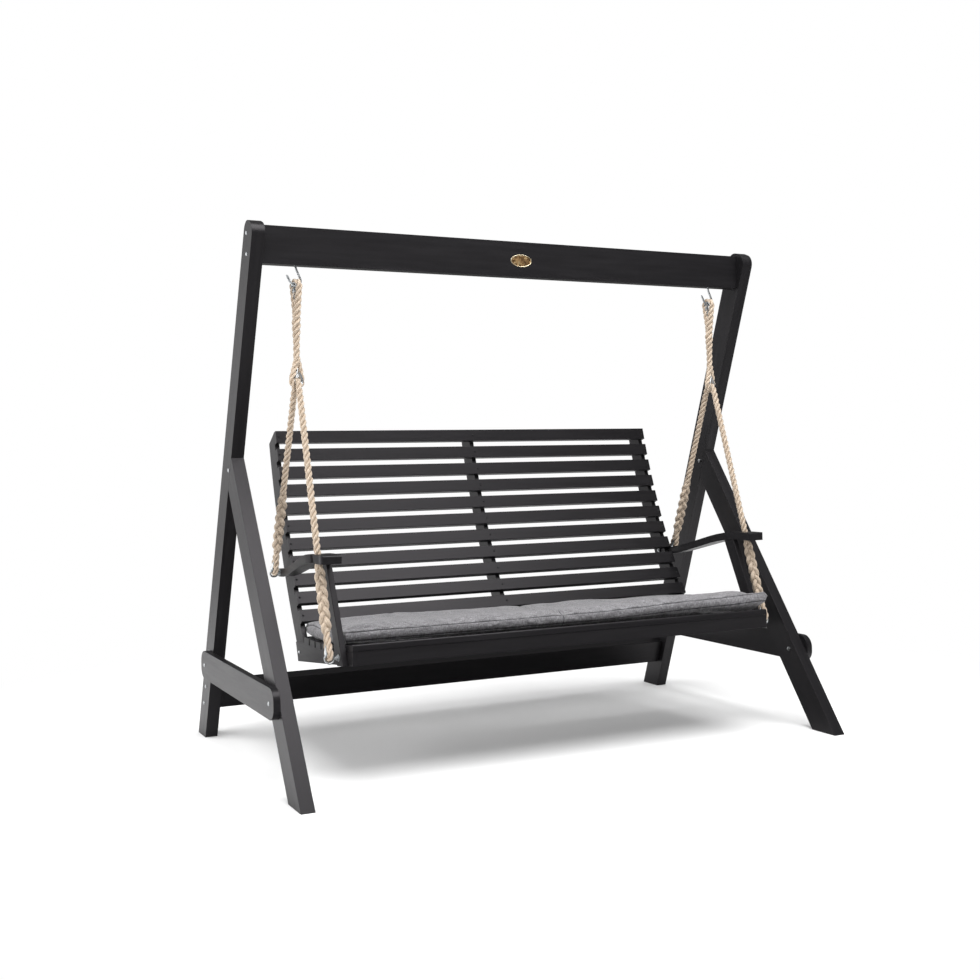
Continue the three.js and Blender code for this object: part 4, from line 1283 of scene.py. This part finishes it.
def on_pattern(point):
    """A point's place on the cushion's pattern: along, across (front negative) and height."""
    away = point - bench_origin - Vector((0, cushion_middle_y, 0))
    along = away.x * math.cos(cushion_skew) - away.y * math.sin(cushion_skew)
    across = away.y * math.cos(cushion_skew) + away.x * math.sin(cushion_skew)
    return along, across, away.z - seat_height(point.y - bench_origin.y)


def cushion_height(across):
    """The pad's thickness, which thins towards the back rest."""
    thinned = ease((2 * across / cushion_deep - 0.55) / 0.45)
    return cushion_thick + (cushion_rear_thick - cushion_thick) * thinned


def wall_share(across):
    """How much of the pad's thickness its upright side takes up."""
    return wall_front + (wall_rear - wall_front) * ease((across + half_deep) / (1.6 * half_deep))


def seam_gaps(point):
    """How far a point lies from the top seam, the bottom seam and the cross seam."""
    along, across, height = on_pattern(point)
    tall = cushion_height(across)
    wander = noise.noise(Vector((along * 9, across * 9, 1.0))) * 1.3 * MM
    top = height + wander - (wall_share(across) * tall - top_seam_drop)
    bottom = height + wander * 0.6 - bottom_seam * tall
    return top, bottom, along + wander * 2


def outward_normals(made):
    """A mesh's vertex normals, read before its vertices are moved."""
    return [vertex.normal.copy() for vertex in made.data.vertices]


print("cushion", round(cushion_long / MM), "by", round(cushion_deep / MM), "mm")

# %% [markdown]
# The cushion is inflated by cloth simulation. Its frame solid is made a little smaller, to leave
# room to swell, and remeshed evenly. A light even pressure then pushes it out from inside. Gravity
# is off, because the seat already shapes its underside. The side seams are sewn tight, so the
# cloth can't swell there.

# %% Inflate the cushion
voxel = 6 * MM
room_to_swell = 4 * MM
corner_draw = 16 * MM
rear_fill = 9 * MM
seam_zone = 16 * MM
cloth_frames = 16

cushion = link_object("seat_pad", frame["nodes"]["seat_cushion"].data.copy())
cushion.data.materials.clear()
shape = bmesh.new()
shape.from_mesh(cushion.data)
bmesh.ops.remove_doubles(shape, verts=shape.verts, dist=0.05 * MM)
for vertex in shape.verts:
    along, across, height = on_pattern(vertex.co)
    tall = cushion_height(across)
    share = height / tall
    upright = wall_share(across)
    if share < cushion_wall:
        raised = share * upright / cushion_wall
    else:
        raised = upright + (share - cushion_wall) * (1 - upright) / (1 - cushion_wall)
    frontward = clamp(0.5 - across / cushion_deep)
    rightward = max(0.0, along / half_long)
    rearward = clamp((2 * across / cushion_deep - 0.4) / 0.4)
    vertex.co.x += corner_draw * frontward * rightward - room_to_swell * along / half_long
    vertex.co.y -= room_to_swell * across / half_deep
    vertex.co.z += (raised - share) * tall + raised * rear_fill * rearward
shape.to_mesh(cushion.data)
shape.free()
remesh = cushion.modifiers.new("even_mesh", "REMESH")
remesh.mode = "VOXEL"
remesh.voxel_size = voxel
finished_mesh(cushion)
start_places = [vertex.co.copy() for vertex in cushion.data.vertices]
print("cushion starts with", len(start_places), "vertices")

held = cushion.vertex_groups.new(name="sewn")
sewn_points = []
for index, start in enumerate(start_places):
    along, across, _ = on_pattern(start)
    beside = min(half_long - abs(along), half_deep - abs(across)) < seam_zone
    if beside and min(abs(gap) for gap in seam_gaps(start)[:2]) < 0.55 * voxel:
        sewn_points.append(index)
held.add(sewn_points, 1.0, "REPLACE")
print("sewn vertices:", len(sewn_points))

cloth = cushion.modifiers.new("inflate", "CLOTH")
cloth_settings = {
    "quality": 3, "mass": 0.25, "air_damping": 5, "shrink_min": -0.025,
    "tension_stiffness": 12, "compression_stiffness": 12, "shear_stiffness": 5,
    "bending_stiffness": 0.35, "use_pressure": True, "uniform_pressure_force": 4.0,
    "vertex_group_mass": held.name,
}
for key, value in cloth_settings.items():
    setattr(cloth.settings, key, value)
cloth.settings.effector_weights.gravity = 0
cloth.collision_settings.use_collision = False
cloth.point_cache.frame_start = 1
cloth.point_cache.frame_end = cloth_frames
for index in range(1, cloth_frames + 1):
    bpy.context.scene.frame_set(index)
finished_mesh(cushion)
bpy.context.scene.frame_set(1)

# %% [markdown]
# The filling makes slow waves, and no point may travel far, so the pad stays in its place between
# the stiles. The boxing runs round the side, between a seam at its top and one at its bottom, and
# a third seam crosses the middle. Each draws the cloth into a groove.

# %% Filling and seams
cushion_travel = 8 * MM
slow_wave = 6.5 * MM
quick_wave = 2.2 * MM
wave_fade = 14 * MM
seam_half = 5.5 * MM
seam_deep = 2.4 * MM

longest = 0.0
for vertex, start, normal in zip(cushion.data.vertices, start_places, outward_normals(cushion)):
    travel = vertex.co - start
    longest = max(longest, travel.length)
    if travel.length > cushion_travel:
        travel *= cushion_travel / travel.length
    wave = noise.noise(Vector((start.x * 5.5, start.y * 6.5, 4.2))) * slow_wave
    wave += noise.noise(Vector((start.x * 15, start.y * 12, 9.1))) * quick_wave
    along, across, height = on_pattern(start)
    top_share = clamp(height / cushion_height(across))
    loose = min(1.0, min(abs(gap) for gap in seam_gaps(start)[:2]) / wave_fade)
    vertex.co = start + travel + normal * wave * loose * (0.2 + 0.8 * top_share)
print("cushion travel", round(longest / MM, 1), "mm, capped at", round(cushion_travel / MM, 1))

for name, measure in (("pattern", on_pattern), ("seams", seam_gaps)):
    layer = cushion.data.attributes.new(name, "FLOAT_VECTOR", "POINT")
    layer.data.foreach_set("vector", [value for start in start_places for value in measure(start)])
divided = cushion.modifiers.new("finer", "SUBSURF")
divided.levels = 1
divided.render_levels = 1
finished_mesh(cushion)
cushion.data.materials.append(None)

gaps = [item.vector.copy() for item in cushion.data.attributes["seams"].data]
for vertex, gap, normal in zip(cushion.data.vertices, gaps, outward_normals(cushion)):
    nearest = min(abs(gap.x), abs(gap.y), abs(gap.z) * 1.1 + 2 * MM)
    vertex.co -= normal * seam_deep * max(0.0, 1 - nearest / seam_half) ** 2
print("cushion:", len(cushion.data.polygons), "faces")

# %% [markdown]
# The pad doesn't lie quite true. Its front edge lifts off the slats, most of all at the right,
# where its corner has slipped out in front of the arm post, and its left end fills the room up to
# the stile. It rests on the slats and never in them.

# %% Set of the cushion
lift_all = 6  # millimetres, as are the next two and the left end's
lift_right = 17
lift_corner = 7
left_front = 7
left_rear = 12
lift_under = 0.06  # how far in from the edges each change reaches, in metres
lift_over = 0.18
corner_deep = 0.08
corner_wide = 0.14
drawn_deep = 0.16
drawn_wide = 0.30
left_wide = 0.08
right_from = 0.05
corner_out = 37 * MM
corner_forward = 26 * MM
above_slats = 0.3 * MM


def near_edge(inside, reach):
    """1 at an edge of the pad, falling smoothly to 0 at a reach inside it."""
    return ease(1 - inside / reach)


pattern = [item.vector.copy() for item in cushion.data.attributes["pattern"].data]
for vertex, (along, across, height) in zip(cushion.data.vertices, pattern):
    from_front = half_deep + across
    from_right = half_long - along
    upper = ease(height / cushion_height(across))
    lifted = near_edge(from_front, lift_under + lift_over * upper)
    rightward = ease((along - right_from) / (half_long - right_from))
    corner = near_edge(from_front, corner_deep) * near_edge(from_right, corner_wide)
    drawn = near_edge(from_front, drawn_deep) * near_edge(from_right, drawn_wide)
    left_fill = (left_front + left_rear * ease(from_front / cushion_deep)) * MM
    vertex.co.z += lifted * (lift_all + lift_right * rightward + lift_corner * corner) * MM
    vertex.co.x += corner_out * corner
    vertex.co.x -= left_fill * near_edge(half_long + along, left_wide)
    vertex.co.y -= corner_forward * drawn
    floor_z = bench_origin.z + seat_height(vertex.co.y - bench_origin.y) + above_slats
    vertex.co.z = max(vertex.co.z, floor_z)
smooth_faces(cushion.data)
print("cushion set:", len(pattern), "vertices")

# %% [markdown]
# The cloth is a grey mélange: pale and dark threads spun together, so the colour comes in short
# streaks along the weave. Warp and weft cross as a fine relief. The pattern place of each vertex
# gives the weave its directions, so it follows the cloth round the edges.

# %% Cushion cloth
melange = new_group(
    "melange_weave", "ShaderNodeTree",
    {"Vector": "Vector", "Thread": "Float"}, {"Tone": "Float", "Height": "Float"},
)
weave_place = melange.parts(melange.given["Vector"])
side_place = melange.plus(weave_place[1], weave_place[2])


def streaks(long_share, cross_share, scale):
    """Noise drawn out along one thread direction."""
    spot = melange.first(
        "ShaderNodeCombineXYZ",
        i0=melange.times(weave_place[0], long_share), i1=melange.times(side_place, cross_share),
    )
    return melange.first("ShaderNodeTexNoise", Vector=spot, Scale=scale, Detail=3.0)


def threads(place_across):
    """The ridges of threads that lie side by side."""
    return melange.maths("SINE", melange.times(place_across, melange.given["Thread"]))


warp_and_weft = melange.plus(streaks(0.18, 1.0, 420.0), streaks(1.0, 0.22, 420.0))
tone = melange.plus(
    melange.times(warp_and_weft, 0.42), melange.times(streaks(1.0, 1.0, 24.0), 0.16),
)
crossing = melange.times(threads(weave_place[0]), threads(side_place))
melange.feed(melange.result, Tone=tone, Height=melange.blend(crossing, tone, 0.35))

cloth_finish, tree = new_material(
    "melange_cloth",
    Roughness=0.95, Specular_IOR_Level=0.15, Sheen_Weight=0.25, Sheen_Roughness=0.5,
)
seam_places = tree.parts(attribute(tree, "seams", "Vector"))
top, bottom, cross = [tree.maths("ABSOLUTE", gap) for gap in seam_places]
nearest_seam = tree.maths("MINIMUM", tree.maths("MINIMUM", top, bottom), cross)
seam_line = tree.remap(nearest_seam, 0.5 * MM, 1.9 * MM)
seam_shade = ramp(tree, seam_line, (0.0, (0.13, 0.13, 0.14)), (1.0, WHITE))
weave = tree.placed(melange, Vector=attribute(tree, "pattern", "Vector"), Thread=4200.0)
cloth_color = ramp(
    tree, weave["Tone"],
    (0.36, (0.075, 0.073, 0.077)), (0.50, (0.170, 0.166, 0.174)), (0.64, (0.31, 0.305, 0.32)),
)
tree.feed(
    tree.shader,
    Base_Color=tint(tree, cloth_color, seam_shade),
    Normal=bump(tree, 0.5, 0.5 * MM, weave["Height"]),
)
cushion.data.materials[0] = cloth_finish
place(cushion, "bench", "grey_cushion_cloth", "seat_cushion")
print("shared effect:", melange.tree.name)

# %% [markdown]
# The room is white, and brighter behind the swing than in front of it. That bright end, seen at a
# grazing angle, turns the left faces of the black timber grey. A large softbox hangs overhead and
# a little in front, and a weak one stands to the left. The camera sees the room as white, by
# colour alone: that lights nothing.

# %% Room and lamps
world = bpy.data.worlds.new("studio")
bpy.context.scene.world = world
world.use_nodes = True
sky = Tree(world.node_tree)
sky_nodes = world.node_tree.nodes
direction = object_place(sky)
facing = sky.vector_maths("DOT_PRODUCT", i0=direction, i1=(-0.17, 0.985, 0.0))["Value"]
bright_end = sky.remap(facing, 0.90, 0.995, kind="SMOOTHSTEP")
upward = sky.remap(sky.parts(direction)[2], 0.02, 0.20, 1.0, 0.38, kind="SMOOTHSTEP")
end_light = sky.plus(sky.times(sky.times(bright_end, upward), 0.80), 0.15)
ray = sky.add("ShaderNodeLightPath").outputs
room_light = sky.first("ShaderNodeMix", i0=ray["Is Glossy Ray"], i2=0.62, i3=end_light)
room = sky.feed(sky_nodes["Background"], Color=(*WHITE, 1.0), Strength=room_light).outputs[0]
seen_room = sky.first("ShaderNodeBackground", Color=(*WHITE, 1.0), Strength=1.0)
sky_mix = sky.first("ShaderNodeMixShader", i0=ray["Is Camera Ray"], i1=room, i2=seen_room)
sky.feed(sky_nodes["World Output"], Surface=sky_mix)
bpy.context.scene.view_settings.view_transform = "Standard"


def softbox(name, place_at, aim, width, height, watts):
    """A rectangular lamp that points at a place."""
    lamp = bpy.data.lights.new(name, "AREA")
    lamp.shape = "RECTANGLE"
    lamp.size = width
    lamp.size_y = height
    lamp.energy = watts
    box = bpy.data.objects.new(name, lamp)
    box.location = place_at
    box.rotation_euler = (Vector(aim) - Vector(place_at)).to_track_quat("-Z", "Y").to_euler()
    bpy.context.scene.collection.objects.link(box)
    print(name, watts, "W")


softbox("left_softbox", (-3.6, 0.9, 1.5), (0, 0, 0.8), 4.4, 3.0, 130)
softbox("top_softbox", (0.1, -1.7, 4.2), (0, -0.3, 0), 4.2, 3.0, 250)

# %% [markdown]
# The floor is plain and pale, and fades to white in the distance for the camera alone. The glossy
# paint sees it with painted shade: darker in front of the swing, a painted shadow nearly black
# under the bench, and dark at the far right. So the undersides of the timbers stay black.

# %% Floor
floor_mesh = bpy.data.meshes.new("floor")
floor_mesh.from_pydata([(-30, -30, 0), (30, -30, 0), (30, 30, 0), (-30, 30, 0)], [], [(0, 1, 2, 3)])
floor = link_object("floor", floor_mesh)
floor_finish, tree = new_material("pale_floor", Roughness=0.9, Specular_IOR_Level=0.1)
where = object_place(tree)
floor_x, floor_y, _ = tree.parts(where)


def floor_step(value, start, end, low=0.0, high=1.0):
    """A smooth change of tone across the floor."""
    return tree.remap(value, start, end, low, high, kind="SMOOTHSTEP")


# Painted shade, seen only in reflections: darker in front, a painted shadow under the seat, dark at the
# far right
rearward = floor_step(floor_y, -1.3, -0.4, 0.36, 0.95)
beside = floor_step(tree.maths("ABSOLUTE", floor_x), 0.75, 1.05)
before = floor_step(tree.maths("ABSOLUTE", tree.plus(floor_y, 0.35)), 0.85, 1.25)
painted_seat_shadow = tree.plus(tree.times(tree.maths("MAXIMUM", beside, before), 0.93), 0.07)
far_rear = floor_step(floor_y, 1.5, 2.8)
far_right = tree.times(floor_step(floor_x, -0.6, 1.2, 0.0, 0.85), far_rear)
painted_near_shade = tree.times(rearward, painted_seat_shadow)
painted_reflection_shade = tree.times(painted_near_shade, tree.maths("SUBTRACT", 1.0, far_right))
ray = tree.add("ShaderNodeLightPath").outputs
tree.feed(
    tree.shader,
    Base_Color=tree.first("ShaderNodeMix", i0=ray["Is Glossy Ray"], i2=0.93, i3=painted_reflection_shade),
)
from_middle = tree.vector_maths("DISTANCE", i0=where, i1=(0.1, 0.1, 0))["Value"]
seen = tree.times(floor_step(from_middle, 0.9, 2.4), ray["Is Camera Ray"])
white = tree.first("ShaderNodeEmission", Color=(*WHITE, 1.0), Strength=1.0)
floor_mix = tree.first("ShaderNodeMixShader", i0=seen, i1=tree.shader.outputs[0], i2=white)
tree.feed(tree.tree.nodes["Material Output"], Surface=floor_mix)
floor_mesh.materials.append(floor_finish)
floor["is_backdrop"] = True
print("floor finish:", len(tree.tree.nodes), "nodes")

# %% [markdown]
# Last, the dressed swing is measured next to the frame. Both boxes are kept, so that the two can
# be compared.

# %% Sizes and finish
visual_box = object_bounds()
boxes = {"cad": cad_box, "visual": visual_box}
for name, box in boxes.items():
    print(name, "box", [[round(value, 4) for value in corner] for corner in box])
